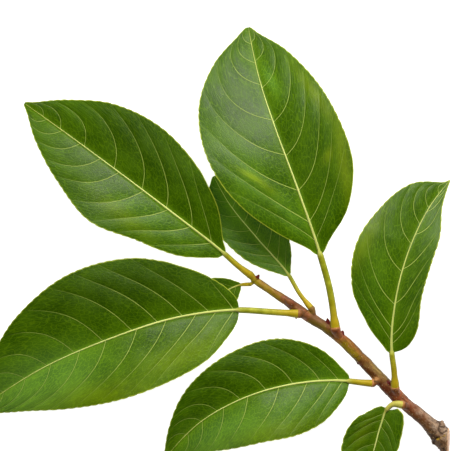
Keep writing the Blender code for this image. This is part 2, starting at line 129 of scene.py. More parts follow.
# %% Helpers for node trees
# Upward share of the surface's direction on a steep wall, and on a top that counts as level
STEEP_WALL = 0.15
LEVEL_TOP = 0.85


def linear(red, green, blue):
    """A screen colour, 0 to 255, as linear values with alpha."""
    shares = [value / 255 for value in (red, green, blue)]
    return (*[c / 12.92 if c < 0.04045 else ((c + 0.055) / 1.055) ** 2.4 for c in shares], 1.0)


def node(tree, kind, inputs=None, **settings):
    """A new node with its settings, and its inputs linked or given values."""
    made = tree.nodes.new(kind)
    for name, value in settings.items():
        setattr(made, name, value)
    for name, value in (inputs or {}).items():
        if isinstance(value, bpy.types.NodeSocket):
            tree.links.new(value, made.inputs[name])
        else:
            made.inputs[name].default_value = value
    return made


def soft_step(tree, value, start, end, low=0.0, high=1.0):
    """low where value is under start, high past end, with a smooth rise between."""
    values = {"Value": value, 1: start, 2: end, 3: low, 4: high}
    return node(tree, "ShaderNodeMapRange", values, interpolation_type="SMOOTHSTEP").outputs[0]


def times(tree, first, second):
    """The product of two sockets, or of a socket and a number."""
    return node(tree, "ShaderNodeMath", {0: first, 1: second}, operation="MULTIPLY").outputs[0]


def plus(tree, first, second):
    """The sum of two sockets, or of a socket and a number."""
    return node(tree, "ShaderNodeMath", {0: first, 1: second}, operation="ADD").outputs[0]


def mixed(tree, share, first, second):
    """first where share is 0 and second where it is 1."""
    return node(tree, "ShaderNodeMix", {0: share, 6: first, 7: second}, data_type="RGBA").outputs[2]


def noise_of(tree, place, scale, detail=3.0, roughness=0.5):
    """Soft random clouds, 0 to 1. The larger the scale, the smaller they are."""
    values = {"Vector": place, "Scale": scale, "Detail": detail, "Roughness": roughness}
    return node(tree, "ShaderNodeTexNoise", values).outputs["Fac"]


def attribute(tree, name):
    """The number that the mesh stores under a name at each of its points."""
    return node(tree, "ShaderNodeAttribute", attribute_name=name).outputs["Fac"]


def side_shade(tree, strength):
    """Share of painted shade: strength where the surface is a steep wall, falling to 0 where it is level."""
    normal = node(tree, "ShaderNodeNewGeometry").outputs["Normal"]
    upright = node(tree, "ShaderNodeSeparateXYZ", {0: normal}).outputs["Z"]
    level = node(tree, "ShaderNodeMath", {0: upright}, operation="ABSOLUTE").outputs[0]
    return soft_step(tree, level, STEEP_WALL, LEVEL_TOP, strength, 0.0)


def new_material(name):
    """A material with its node tree and its Principled shader."""
    made = bpy.data.materials.new(name)
    made.use_nodes = True
    return made, made.node_tree, made.node_tree.nodes["Principled BSDF"]


# %% [markdown]
# The branch lies on a light table: white acrylic lit from below. It stays white under the leaves and gives
# their edges a soft glow, where an ordinary white board would show a grey shadow. A single wide face that
# glows a little does the work of the whole table.

# %% The light table
TABLE_SIZE = 6.0            # m
TABLE_GLOW = 0.95
ACRYLIC_WHITE = linear(190, 190, 190)

acrylic, tree, shader = new_material("white_acrylic")
shader.inputs["Base Color"].default_value = ACRYLIC_WHITE
shader.inputs["Roughness"].default_value = 0.9
shader.inputs["Specular IOR Level"].default_value = 0.1
shader.inputs["Emission Color"].default_value = (1, 1, 1, 1)
shader.inputs["Emission Strength"].default_value = TABLE_GLOW

corners = [(x * TABLE_SIZE / 2, y * TABLE_SIZE / 2, 0) for x, y in ((-1, -1), (1, -1), (1, 1), (-1, 1))]
table_mesh = bpy.data.meshes.new("light_table")
table_mesh.from_pydata(corners, [], [(0, 1, 2, 3)])
table_mesh.materials.append(acrylic)
light_table = bpy.data.objects.new("light_table", table_mesh)
SCENE.collection.objects.link(light_table)
print("table:", TABLE_SIZE, "m wide")

# %% [markdown]
# The plan of a leaf
#
# A leaf is described the way a botanist would draw it: the line of its stalk and midrib, its half widths to
# the left and to the right, and the places where its side veins leave the midrib. Everything else follows
# from rules: side veins sweep forward in the same curve, the blade folds up a little from the midrib and
# droops at the margin, and it swells between two veins. Sizes are in millimetres. The lines of the stalks are
# those of the solids, so each fine leaf lies where the plain one does, and a few half widths differ from the
# solids' by less than a millimetre.

# %% The eight leaves
# path: points of the stalk's middle line from twig to tip. blade: the point where the blade starts. left and
# right: half widths at nine places, closer together towards the ends. veins: where side veins start, in
# percent of the midrib. sweep: how steeply they run forward at first, and how much they curl that way further
# out. base, petiole, rib: diameters of the stalk. ear: how far the foot of the left half reaches back.
LEAVES = {
    "a": dict(
        path=((18.6, -5.2, 14.6), (13.8, -1.6, 16.4), (6.6, 4.8, 18.6), (-21.5, 26.9, 24.0),
              (-48.2, 47.1, 25.0), (-75.0, 66.8, 18.5), (-93.3, 79.9, 9.0)),
        blade=2, base=3.6, petiole=2.9, rib=2.4, sweep=((0.10, 0.21), (0.10, 0.42)),
        left=(1.5, 6.8, 15.8, 22.0, 28.4, 22.2, 13.0, 3.6, 0),
        right=(1.2, 4.7, 17.0, 26.5, 30.5, 26.0, 14.3, 3.8, 0),
        veins=((6.5, 17, 28, 40, 52, 61, 71, 80, 88), (6.5, 16.5, 29, 41, 54.5, 69, 81, 90)),
    ),
    "b": dict(
        path=((61.9, -31.4, 15.6), (59.2, -13.5, 19.5), (54.3, 4.5, 23.5), (43.4, 36.4, 28.0),
              (31.0, 70.2, 25.0), (24.7, 89.8, 16.5), (18.6, 118.0, 0.85)),
        blade=2, base=4.8, petiole=3.5, rib=2.6, sweep=((0.19, 0.48), (0.12, 0.55)),
        left=(1.5, 5.1, 18.0, 31.0, 37.0, 34.0, 21.6, 6.8, 0),
        right=(1.5, 5.9, 21.0, 30.5, 31.2, 26.2, 17.0, 4.7, 0),
        veins=((5, 13.5, 27, 42, 57, 73, 83, 92), (6, 14, 27, 41.5, 56, 71.5, 84, 93)),
    ),
    "c": dict(
        path=((49.6, -22.0, 13.6), (44.6, -15.8, 12.6), (38.8, -6.0, 11.2), (22.4, 13.2, 10.4),
              (8.4, 30.7, 9.4), (1.3, 43.5, 7.0)),
        blade=2, base=3.2, petiole=2.2, rib=1.9, sweep=((0.12, 0.25), (0.12, 0.25)),
        left=(1.2, 3.0, 7.2, 11.4, 13.4, 12.6, 8.6, 3.0, 0),
        right=(1.0, 3.0, 9.0, 15.0, 17.0, 14.0, 8.0, 2.5, 0),
        veins=((8, 20, 33, 47, 62, 76, 88), (5, 15, 27, 41, 55, 70, 83)),
    ),
    "d": dict(
        path=((43.0, -25.2, 17.2), (29.5, -24.3, 18.0), (14.0, -23.4, 19.0), (-13.3, -26.3, 22.6),
              (-52.4, -38.4, 23.0), (-81.3, -50.9, 16.5), (-119.5, -75.5, 0.85)),
        blade=2, base=4.3, petiole=3.3, rib=2.5, sweep=((0.15, 0.36), (0.12, 0.17)),
        left=(1.5, 12.6, 24.7, 30.2, 30.1, 23.7, 12.6, 3.5, 0),
        right=(1.5, 11.4, 23.0, 34.9, 37.3, 28.9, 15.2, 4.6, 0),
        veins=((1.5, 7.5, 14.5, 24.7, 35, 46, 55.6, 66.5, 76.8, 86),
               (1.6, 10, 19, 27.7, 36.7, 47, 57.5, 68, 77, 86)),
    ),
    "e": dict(
        path=((18.8, -10.6, 12.4), (14.8, -10.9, 10.8), (7.0, -14.0, 9.0), (-3.0, -19.5, 8.0),
              (-20.0, -31.5, 6.5)),
        blade=1, base=2.0, petiole=1.5, rib=1.3, sweep=((0.12, 0.25), (0.12, 0.25)),
        left=(1.0, 3.8, 7.3, 9.0, 9.5, 8.5, 6.0, 2.0, 0),
        right=(1.0, 2.2, 6.0, 9.0, 9.5, 8.5, 6.0, 2.0, 0),
        veins=((6, 18, 31, 45, 60, 75, 88), (10, 24, 38, 52, 67, 81)),
    ),
    "f": dict(
        path=((79.6, -60.0, 11.0), (75.0, -59.6, 12.4), (69.0, -58.9, 14.0), (41.2, -60.2, 19.0),
              (14.7, -67.9, 20.0), (-5.4, -79.4, 14.0), (-23.0, -97.5, 5.0)),
        blade=2, base=3.6, petiole=3.1, rib=2.5, sweep=((0.13, 0.27), (0.09, 0.25)),
        left=(1.5, 11.5, 21.3, 25.6, 24.1, 19.9, 12.3, 4.0, 0),
        right=(1.5, 6.5, 17.1, 24.0, 23.3, 18.3, 9.9, 3.3, 0),
        veins=((3, 9, 20, 33.5, 48.7, 61.3, 73.6, 83), (5, 14, 26.8, 39.7, 52.5, 64.8, 74, 84)),
    ),
    "g": dict(
        path=((91.8, -61.2, 13.6), (91.3, -53.5, 16.4), (90.1, -44.5, 18.6), (91.6, -20.8, 22.0),
              (99.6, 8.9, 20.0), (109.2, 28.3, 14.5), (119.4, 41.5, 8.0)),
        blade=2, base=4.3, petiole=3.0, rib=2.4, sweep=((0.15, 0.40), (0.12, 0.45)),
        left=(1.4, 4.4, 13.0, 22.9, 26.0, 21.5, 14.2, 2.4, 0),
        right=(1.5, 8.8, 12.9, 12.6, 12.9, 11.6, 5.2, 1.5, 0),
        veins=((6, 13, 25.5, 43, 58.5, 70, 80, 90), (4.5, 9, 26, 44.5, 64, 78, 88)),
    ),
    "h": dict(
        path=((94.9, -70.7, 13.2), (91.0, -70.4, 13.8), (87.8, -72.9, 13.2), (85.0, -80.0, 12.0),
              (81.3, -93.5, 10.0), (77.5, -108.5, 7.0), (74.5, -118.5, 3.5)),
        blade=2, base=3.8, petiole=2.6, rib=2.0, sweep=((0.15, 0.30), (0.15, 0.35)),
        left=(3.9, 8.0, 10.8, 11.7, 11.2, 9.6, 6.6, 2.4, 0), ear=3.9,
        right=(1.5, 5.4, 11.4, 15.6, 16.2, 14.0, 8.5, 3.0, 0),
        veins=((10, 19, 33, 48, 62, 75, 87), (5, 12, 24, 38, 53, 68, 82)),
    ),
}
print("leaves:", len(LEAVES))

# %% [markdown]
# A smooth line through a few points is the base of stalks, midribs and the twig. Blender's own curves could
# draw it, but the blade needs to know the line's direction at thousands of places, so the curve is worked out
# here with numpy: a cubic between each pair of points, with slopes that agree where they meet.

# %% Lines and their directions
CURVE_STEPS = 1200
STALK_STEPS = 800


def smooth_line(points, count):
    """count points, evenly spaced along a smooth curve through the given ones."""
    knots = np.asarray(points, float)
    at = np.concatenate([[0], np.cumsum(np.linalg.norm(np.diff(knots[:, :2], axis=0), axis=1))])
    step = np.diff(at)
    slope = np.diff(knots, axis=0) / step[:, None]
    tangent = np.zeros_like(knots)
    before, after = step[:-1, None], step[1:, None]
    tangent[1:-1] = (after * slope[:-1] + before * slope[1:]) / (after + before)
    tangent[0] = 1.5 * slope[0] - 0.5 * tangent[1]
    tangent[-1] = 1.5 * slope[-1] - 0.5 * tangent[-2]
    fine = np.linspace(0, at[-1], CURVE_STEPS)
    k = np.clip(np.searchsorted(at, fine, side="right") - 1, 0, len(knots) - 2)
    span = step[k][:, None]
    u = (fine - at[k])[:, None] / span
    curve = (
        (2 * u**3 - 3 * u**2 + 1) * knots[k] + (u**3 - 2 * u**2 + u) * span * tangent[k]
        + (3 * u**2 - 2 * u**3) * knots[k + 1] + (u**3 - u**2) * span * tangent[k + 1]
    )
    run = np.concatenate([[0], np.cumsum(np.linalg.norm(np.diff(curve, axis=0), axis=1))])
    wanted = np.linspace(0, run[-1], count)
    return np.stack([np.interp(wanted, run, curve[:, axis]) for axis in range(curve.shape[1])], axis=1)


def directions(line):
    """Unit along, level sideways (to the left) and up directions at each point of a line."""
    along = np.gradient(line, axis=0)
    along /= np.linalg.norm(along, axis=1)[:, None]
    side = np.stack([-along[:, 1], along[:, 0], np.zeros(len(line))], axis=1)
    side /= np.linalg.norm(side, axis=1)[:, None]
    return along, side, np.cross(along, side)


def lengths(line):
    """How far each point of a line is from its first one."""
    return np.concatenate([[0], np.cumsum(np.linalg.norm(np.diff(line, axis=0), axis=1))])


def read_at(places, line, wanted):
    """The line's columns at the wanted places."""
    return np.stack([np.interp(wanted, places, line[..., axis]) for axis in range(line.shape[-1])], axis=-1)


STALK_LINES = {letter: smooth_line(leaf["path"], STALK_STEPS) for letter, leaf in LEAVES.items()}
BLADE_STARTS = {
    letter: int(np.argmin(np.linalg.norm(STALK_LINES[letter] - leaf["path"][leaf["blade"]], axis=1)))
    for letter, leaf in LEAVES.items()
}
for letter, line in STALK_LINES.items():
    blade_length = lengths(line)[-1] - lengths(line)[BLADE_STARTS[letter]]
    print("leaf", letter, "blade", round(blade_length), "mm long")

# %% [markdown]
# Width, sweep and height of a blade
#
# Four rules give every point of a blade. `half_width` is a smooth curve through the nine widths. `swept`
# says how far towards the tip a vein has run by the time it is a share `v` of the way out. `blade_height`
# folds, droops and waves the blade, and `teeth` gives its margin small rounded teeth. In all of them `s` is a
# place along the blade, 0 at its foot and 1 at its tip.

# %% Rules of the blade
# The veins' sweep: the share of the blade over which it sets in, its room at the tip, and where it has to end
SWEEP_START = 0.04
TIP_ROOM = 0.3
LAST_PLACE = 0.9999
# Slope of the blade beside its midrib and at its margin
FOLD = 0.30
DROOP = 0.06
# The swell between two veins, in mm, and the half width of a blade from which it is full
BULGE = 0.42
BULGE_ROOM = 15.0
# The waves of the margin: their number, their height in mm and the half width from which they are full
WAVES = 2.3
WAVE_HEIGHT = 0.7
WAVE_ROOM = 20.0
# The solids' midrib at its tip and the gap from it to their blade, in mm, and how much wider the gutter is
RIB_TIP_RADIUS = 0.36
RIB_GAP = 0.38
GUTTER_FIT = 1.08
GUTTER_SHARE = 0.55         # of a narrow blade's half width, at most
# The teeth, in mm, and how their length drifts along the margin
TOOTH_LENGTH = 4.2
TOOTH_DEPTH = 0.42
TOOTH_DRIFT = 0.25
DRIFT_LENGTH = 7.0


def half_width(widths, s):
    """A smooth curve through the widths, which stand closer together towards both ends of the blade."""
    last = len(widths) - 1
    place = np.arccos(1 - 2 * np.clip(s, 0, 1)) / math.pi * last
    k = np.clip(place.astype(int), 0, last - 1)
    u = place - k
    padded = np.concatenate([[2 * widths[0] - widths[1]], widths, [-widths[-2]]])
    w0, w1, w2, w3 = (padded[k + shift] for shift in range(4))
    curve = w1 + 0.5 * u * (w2 - w0 + u * (2 * w0 - 5 * w1 + 4 * w2 - w3 + u * (3 * (w1 - w2) + w3 - w0)))
    return np.maximum(curve, 0)


def swept(start, v, sweep):
    """Where a vein that leaves the midrib at start is along the blade, a share v of the way to the margin."""
    slope, curl = sweep
    run = slope * v + curl * v**3 * (1.2 - 0.45 * v**3)
    reach = (1 - np.exp(-start / SWEEP_START)) / (1 - start + TIP_ROOM * start**8)
    return np.minimum(1 - (1 - start) * np.exp(-reach * run), LAST_PLACE)


def rib_radius(leaf, s):
    """Radius of the solid's midrib."""
    return RIB_TIP_RADIUS + (leaf["rib"] / 2 - RIB_TIP_RADIUS) * np.maximum(1 - s, 0) ** 1.2


def gutter(leaf, s, width):
    """Where the solid's blade starts beside its midrib."""
    return np.minimum(GUTTER_FIT * (rib_radius(leaf, s) + RIB_GAP), GUTTER_SHARE * width)


def blade_height(leaf, s, out, width, between, v, hand):
    """Height of the blade over the midrib at a distance out from it, in millimetres."""
    edge = gutter(leaf, s, width)
    beyond = np.maximum(out - edge, 0)
    room = np.maximum(width - edge, 0.3)
    height = FOLD * beyond + (DROOP - FOLD) * beyond**2 / (2 * room)
    swell = BULGE * np.sin(math.pi * between) ** 0.8 * (4 * v * (1 - v)) ** 0.7
    height += swell * np.minimum(1, room / BULGE_ROOM)
    wave = WAVE_HEIGHT * np.sin(2 * math.pi * (WAVES * s + 0.2 * hand)) * v**2
    height += wave * np.minimum(1, room / WAVE_ROOM)
    return height


def teeth(run):
    """Depth of the margin's rounded teeth at a distance run along the margin."""
    place = run / TOOTH_LENGTH + TOOTH_DRIFT * np.sin(run / DRIFT_LENGTH)
    return TOOTH_DEPTH * (np.abs(np.sin(math.pi * place)) ** 0.6 - 0.75)


middle_width = half_width(np.array(LEAVES["b"]["left"]), 0.5)
print("half width of leaf b at its middle:", round(float(middle_width), 1), "mm")

# %% [markdown]
# The mesh of a blade
#
# A grid of faces could run straight across the leaf, but then no vein would lie along an edge of it. Here
# every row of the grid follows the sweep of the veins, with sixteen rows from each vein to the next. The
# valleys of the veins are crisp that way, and each point knows how far it is from a vein, the midrib and the
# margin. Those distances become attributes of the mesh, which the material reads to draw pale veins and a
# pale edge of true width. The two halves of a blade are thin closed sheets that meet inside the midrib.

# %% Build one half of a blade
# The grid: rows from vein to vein, points from midrib to margin, and where the last row starts on the midrib
ROWS_PER_VEIN = 16
ACROSS = 36
LAST_ROW = 0.998
# Height and size of the small unevenness between the veins, in mm
PUCKER = 0.16
PUCKER_SIZE = 9.0
# Half width in mm from which the margin's teeth have their full depth
FULL_TEETH = 8.0
# Share of the blade that an ear takes in
EAR_SHARE = 0.35
# How far the blade's tip sinks to the end of the midrib, in mm, and the share of the blade that does
TIP_SINK = 0.45
TIP_SHARE = 0.04
# How much finer the pale veins are at a leaf's tip, and how many times finer on the small leaves
TIP_FINENESS = 0.8
SMALL_LEAVES = {"c": 1.3, "e": 1.8, "h": 1.9}
# Millimetres from vein to vein on the map of the small veins
MAP_STEP = 12
# Shares of the way across, close together at the midrib and at the margin
across = (1 - np.cos(np.linspace(0.15, math.pi, ACROSS))) / 2
ACROSS_SHARES = (across - across[0]) / (across[-1] - across[0])


def rows_between(veins):
    """Each row's start on the midrib, its place between two veins and the number of the vein below it."""
    knots = [0.0, *(percent / 100 for percent in veins), LAST_ROW]
    steps = np.arange(ROWS_PER_VEIN) / ROWS_PER_VEIN
    starts, places, numbers = [], [], []
    for number, (low, high) in enumerate(zip(knots, knots[1:])):
        eased = steps**1.5 if number == 0 else steps
        starts += list(low + eased * (high - low))
        places += list(steps)
        numbers += [number] * ROWS_PER_VEIN
    return np.array([*starts, knots[-1]]), np.array([*places, 1.0]), np.array([*numbers, len(knots) - 2])


def puckers(points, size):
    """A small smooth unevenness at each point."""
    flat = points.reshape(-1, 3)
    values = [noise.noise(Vector(point) / size) for point in flat]
    return np.array(values).reshape(points.shape[:-1])


def half_blade(letter, hand):
    """Upper points of the left (hand 1) or right (-1) half of a blade, and what the material reads there."""
    leaf = LEAVES[letter]
    half = 0 if hand > 0 else 1
    widths = np.array(leaf[("left", "right")[half]])
    rib = STALK_LINES[letter][BLADE_STARTS[letter]:]
    places = np.linspace(0, 1, len(rib))
    along, side, _ = directions(rib)
    starts, between, number = rows_between(leaf["veins"][half])
    v = np.broadcast_to(ACROSS_SHARES, (len(starts), ACROSS))
    s = swept(starts[:, None], v, leaf["sweep"][half])

    width = np.maximum(half_width(widths, s), rib_radius(leaf, s) * (1 - s) ** 0.2)
    margin = read_at(places, rib, s[:, -1]) + hand * width[:, -1:] * read_at(places, side, s[:, -1])
    scallop = teeth(lengths(margin)) * np.clip(width[:, -1] / FULL_TEETH, 0, 1)
    width = width + scallop[:, None] * v**6
    out = v * width
    points = read_at(places, rib, s) + hand * out[:, :, None] * read_at(places, side, s)
    if hand > 0:
        back = leaf.get("ear", 0.0) * np.clip(1 - s / EAR_SHARE, 0, 1) * v**1.5
        points -= back[:, :, None] * read_at(places, along, s)
    points[:, :, 2] += blade_height(leaf, s, out, width, between[:, None], v, hand)
    uneven = PUCKER * puckers(points, PUCKER_SIZE) * np.minimum(1, out / 6) * np.minimum(1, width / 12)
    points[:, :, 2] += uneven
    points[:, :, 2] -= TIP_SINK * np.clip((s - (1 - TIP_SHARE)) / TIP_SHARE, 0, 1) ** 2

    # Distance from vein to vein at each point, for lines of a true width
    spacing = np.zeros_like(out)
    vein_rows = np.append(np.arange(0, len(starts) - 1, ROWS_PER_VEIN), len(starts) - 1)
    for low, high in zip(vein_rows, vein_rows[1:]):
        gap = np.linalg.norm(points[high] - points[low], axis=1)
        turn = np.gradient(points[low], axis=0)
        turn /= np.maximum(np.linalg.norm(turn, axis=1), 1e-6)[:, None]
        straight = np.linalg.norm(np.cross(points[high] - points[low], turn), axis=1)
        spacing[low:high + 1] = np.minimum(gap, straight)
    first, last = number == 0, number == number[-1]
    nearest = np.minimum(between, 1 - between)
    nearest[first] = 1 - between[first]
    nearest[last] = between[last]
    fields = {
        "vein": nearest[:, None] * spacing * (1 + TIP_FINENESS * s**3) * SMALL_LEAVES.get(letter, 1.0),
        "rib": out,
        "edge": (1 - v) * width,
        "outward": v,
        "row": (number + between)[:, None] * MAP_STEP + np.zeros_like(out),
    }
    return points, fields


points, fields = half_blade("b", 1)
print("half of leaf b:", points.shape[0], "rows of", points.shape[1], "points")
print("its widest place:", round(fields["rib"].max(), 1), "mm")

# %% [markdown]
# The upper sheet and a copy of it half a millimetre lower are joined round their edge. The lower sheet is
# marked as the underside, which is paler and duller on the real leaf. Each point keeps its distances under a
# name, and a map called net lays the small veins between the side veins.

# %% Close the halves into thin sheets
BLADE_THICKNESS = 0.5
EDGE_THICKNESS = 0.22
MAP_SIZE = 40               # mm of the blade to one unit of the map


def store(mesh, label, values):
    """Keep a number for each point of a mesh under a name."""
    layer = mesh.attributes.new(label, "FLOAT", "POINT")
    layer.data.foreach_set("value", np.asarray(values, np.float32).reshape(-1))


def points_of(mesh):
    """The points of a mesh in millimetres."""
    places = np.zeros(len(mesh.vertices) * 3)
    mesh.vertices.foreach_get("co", places)
    return places.reshape(-1, 3) / MM


def sheet_faces(rows, columns, first, flip):
    """Quads of a closed thin sheet whose upper grid starts at the number first and its lower one after it."""
    grid = first + np.arange(rows * columns).reshape(rows, columns)
    under = grid + rows * columns
    upper = np.stack([grid[:-1, :-1], grid[1:, :-1], grid[1:, 1:], grid[:-1, 1:]], axis=-1).reshape(-1, 4)
    lower = np.stack([under[:-1, :-1], under[:-1, 1:], under[1:, 1:], under[1:, :-1]], axis=-1).reshape(-1, 4)
    rim = np.concatenate([grid[0, :], grid[1:, -1], grid[-1, -2::-1], grid[-2:0:-1, 0]])
    following = np.roll(rim, -1)
    wall = np.stack([rim, following, following + rows * columns, rim + rows * columns], axis=-1)
    faces = np.concatenate([upper, lower, wall])
    return faces[:, ::-1] if flip else faces


def blade_object(name, points, faces, fields, net, material):
    """An object from points in millimetres, with its fields' numbers and its map of the small veins."""
    mesh = bpy.data.meshes.new(name)
    mesh.from_pydata((points * MM).tolist(), [], faces.tolist())
    for label, values in fields.items():
        store(mesh, label, values)
    corners = np.zeros(len(mesh.loops), np.int32)
    mesh.loops.foreach_get("vertex_index", corners)
    layer = mesh.uv_layers.new(name="net")
    layer.data.foreach_set("uv", net.astype(np.float32)[corners].reshape(-1))
    mesh.update()
    mesh.shade_smooth()
    mesh.materials.append(material)
    made = bpy.data.objects.new(name, mesh)
    SCENE.collection.objects.link(made)
    return made


def build_blade(letter, material):
    """Both halves of a leaf's blade as one mesh."""
    points, faces, fields = [], [], {}
    for hand in (1, -1):
        top, values = half_blade(letter, hand)
        rows, columns = top.shape[:2]
        last_tenth = np.clip(values["outward"] * 10 - 9, 0, 1)
        thickness = BLADE_THICKNESS - (BLADE_THICKNESS - EDGE_THICKNESS) * last_tenth
        bottom = top - thickness[:, :, None] * np.array((0, 0, 1.0))
        faces.append(sheet_faces(rows, columns, sum(len(part) for part in points), hand < 0))
        points += [top.reshape(-1, 3), bottom.reshape(-1, 3)]
        for label, grid in values.items():
            fields.setdefault(label, []).extend([grid.reshape(-1), grid.reshape(-1)])
        fields.setdefault("under", []).extend([np.zeros(rows * columns), np.ones(rows * columns)])
    joined = {label: np.concatenate(parts) for label, parts in fields.items()}
    net = np.stack([joined["rib"] / MAP_SIZE, joined["row"] / MAP_SIZE], axis=1)
    return blade_object(
        f"leaf_{letter}_skin", np.concatenate(points), np.concatenate(faces), joined, net, material
    )


print("faces of a closed sheet with 3 by 3 points above:", len(sheet_faces(3, 3, 0, False)))

# %% [markdown]
# Leaf green
#
# The leaf is leathery: a waxy deep green above, paler and dull beneath. Its colour is built up as a painter
# would: a ground of two greens in soft clouds, a fine net of small veins, patches where the leaf has begun to
# yellow, a painted shade beside each side vein, spots of painted light and painted shade with a grey painted
# sheen where the leaf is lightened, the side veins as pale lines, and a thin yellow-green line along the
# margin. The net is a Voronoi pattern on the blade's own map, whose one direction runs along the side veins
# and the other across them, so its cells lie between the veins as they grow.

# %% Material of the blades
DEEP_GREEN = linear(46, 82, 0)
MID_GREEN = linear(68, 106, 0)
PALE_VEIN = linear(182, 204, 92)
NET_GREEN = linear(100, 138, 4)
EDGE_GREEN = linear(186, 200, 60)
YELLOWING = linear(146, 168, 8)
UNDER_GREEN = linear(128, 152, 80)
VEIN_SHADE_GREEN = linear(34, 68, 0)
PAINTED_SHEEN_GREEN = linear(110, 150, 92)
GRAIN_GREEN = linear(88, 126, 2)
# Cells of the net of small veins and of the finer one within it, to one unit of their map, and their bend
NET_CELLS = 22.0
FINE_CELLS = 60.0
NET_BEND = 0.035


def leaf_material():
    """The blade's skin, which reads its distances from the mesh: vein, rib and edge are in millimetres."""
    made, tree, shader = new_material("leaf_green")
    place = node(tree, "ShaderNodeTexCoord").outputs["Object"]
    vein, rib, edge = (attribute(tree, name) for name in ("vein", "rib", "edge"))
    outward, under = attribute(tree, "outward"), attribute(tree, "under")
    yellow, painted_light_and_shade = attribute(tree, "yellow"), attribute(tree, "painted_light_and_shade")
    clouds = noise_of(tree, place, 70.0, 4.0, 0.6)
    grain = noise_of(tree, place, 900.0, 3.0, 0.6)
    ground = mixed(tree, soft_step(tree, clouds, 0.35, 0.68), DEEP_GREEN, MID_GREEN)
    ground = mixed(tree, soft_step(tree, grain, 0.3, 0.8, 0.0, 0.3), ground, GRAIN_GREEN)

    # The net of small veins, bent a little so that no cell is straight
    net = node(tree, "ShaderNodeUVMap", uv_map="net").outputs["UV"]
    sway = node(tree, "ShaderNodeTexNoise", {"Vector": place, "Scale": 240.0, "Detail": 2.0}).outputs["Color"]
    shift = node(tree, "ShaderNodeVectorMath", {0: sway, 1: (NET_BEND,) * 3}, operation="MULTIPLY").outputs[0]
    bent = node(tree, "ShaderNodeVectorMath", {0: net, 1: shift}, operation="ADD").outputs[0]
    cells = []
    for scale in (NET_CELLS, FINE_CELLS):
        values = {"Vector": bent, "Scale": scale}
        cell = node(tree, "ShaderNodeTexVoronoi", values, feature="DISTANCE_TO_EDGE")
        cells.append(cell.outputs["Distance"])
    coarse_line = soft_step(tree, cells[0], 0.02, 0.09, 1.0, 0.0)
    fine_line = soft_step(tree, cells[1], 0.02, 0.12, 1.0, 0.0)
    ground = mixed(tree, times(tree, coarse_line, 0.58), ground, NET_GREEN)
    ground = mixed(tree, times(tree, fine_line, 0.24), ground, NET_GREEN)

    # Yellowing, the paler strip along the midrib, painted shade beside the veins, and painted light, shade and
    # sheen
    ground = mixed(tree, times(tree, yellow, soft_step(tree, clouds, 0.2, 0.6, 0.6, 1.0)), ground, YELLOWING)
    near_rib = soft_step(tree, rib, 0.6, 4.0, 0.35, 0.0)
    ground = mixed(tree, near_rib, ground, NET_GREEN)
    vein_line = soft_step(tree, vein, 0.11, 0.21, 1.0, 0.0)
    # Painted shade: a darker green band on both sides of each pale side vein
    vein_shade = soft_step(tree, vein, 0.25, 0.9, 0.35, 0.0)
    fading = soft_step(tree, outward, 0.3, 0.97, 0.9, 0.12)
    ground = mixed(tree, times(tree, vein_shade, fading), ground, VEIN_SHADE_GREEN)
    # Painted light and painted shade from the spots, with a grey painted sheen where the leaf is lightened
    ground = node(tree, "ShaderNodeHueSaturation", {"Color": ground, "Value": painted_light_and_shade}).outputs[0]
    ground = mixed(tree, soft_step(tree, painted_light_and_shade, 1.0, 2.2, 0.0, 0.27), ground, PAINTED_SHEEN_GREEN)

    # Side veins, margin and underside
    veined = mixed(tree, times(tree, vein_line, fading), ground, PALE_VEIN)
    edged = mixed(tree, soft_step(tree, edge, 0.2, 0.65, 0.85, 0.0), veined, EDGE_GREEN)
    tree.links.new(mixed(tree, times(tree, under, 0.75), edged, UNDER_GREEN), shader.inputs["Base Color"])

    gloss = plus(tree, soft_step(tree, clouds, 0.3, 0.7, 0.3, 0.38), times(tree, under, 0.25))
    tree.links.new(plus(tree, gloss, times(tree, vein_line, 0.08)), shader.inputs["Roughness"])
    shader.inputs["Specular IOR Level"].default_value = 0.27

    relief = plus(tree, times(tree, vein_line, -0.4), times(tree, coarse_line, -0.55))
    relief = plus(tree, relief, times(tree, fine_line, -0.25))
    relief = plus(tree, relief, times(tree, grain, 0.35))
    bump = node(tree, "ShaderNodeBump", {"Height": relief, "Strength": 0.55, "Distance": 0.0001})
    tree.links.new(bump.outputs[0], shader.inputs["Normal"])
    return made


leaf_green = leaf_material()
print("leaf material:", len(leaf_green.node_tree.nodes), "nodes")

# %% [markdown]
# No two leaves are the same green. Some have started to yellow in places: a streak beside a vein, a broad
# patch near the margin. Other spots paint light onto a leaf, with a grey sheen, where a half blade faces the
# softbox or lies in another leaf's shadow, and paint shade where a half blade turns away from it. Each such
# place is a soft spot on one leaf, given by where it lies on the table, its size and how strong it is. A
# painted picture would serve as well, but a list of spots is easy to read and to change.

# %% Build the blades, with their yellowing and their spots of painted light and painted shade
# How much a spot of painted light lightens the leaf, how much one of painted shade darkens it, and how steeply
# spots fade
PAINTED_LIGHT_GAIN = 1.8
PAINTED_SHADE_LOSS = 0.75
SPOT_FALL = 1.4
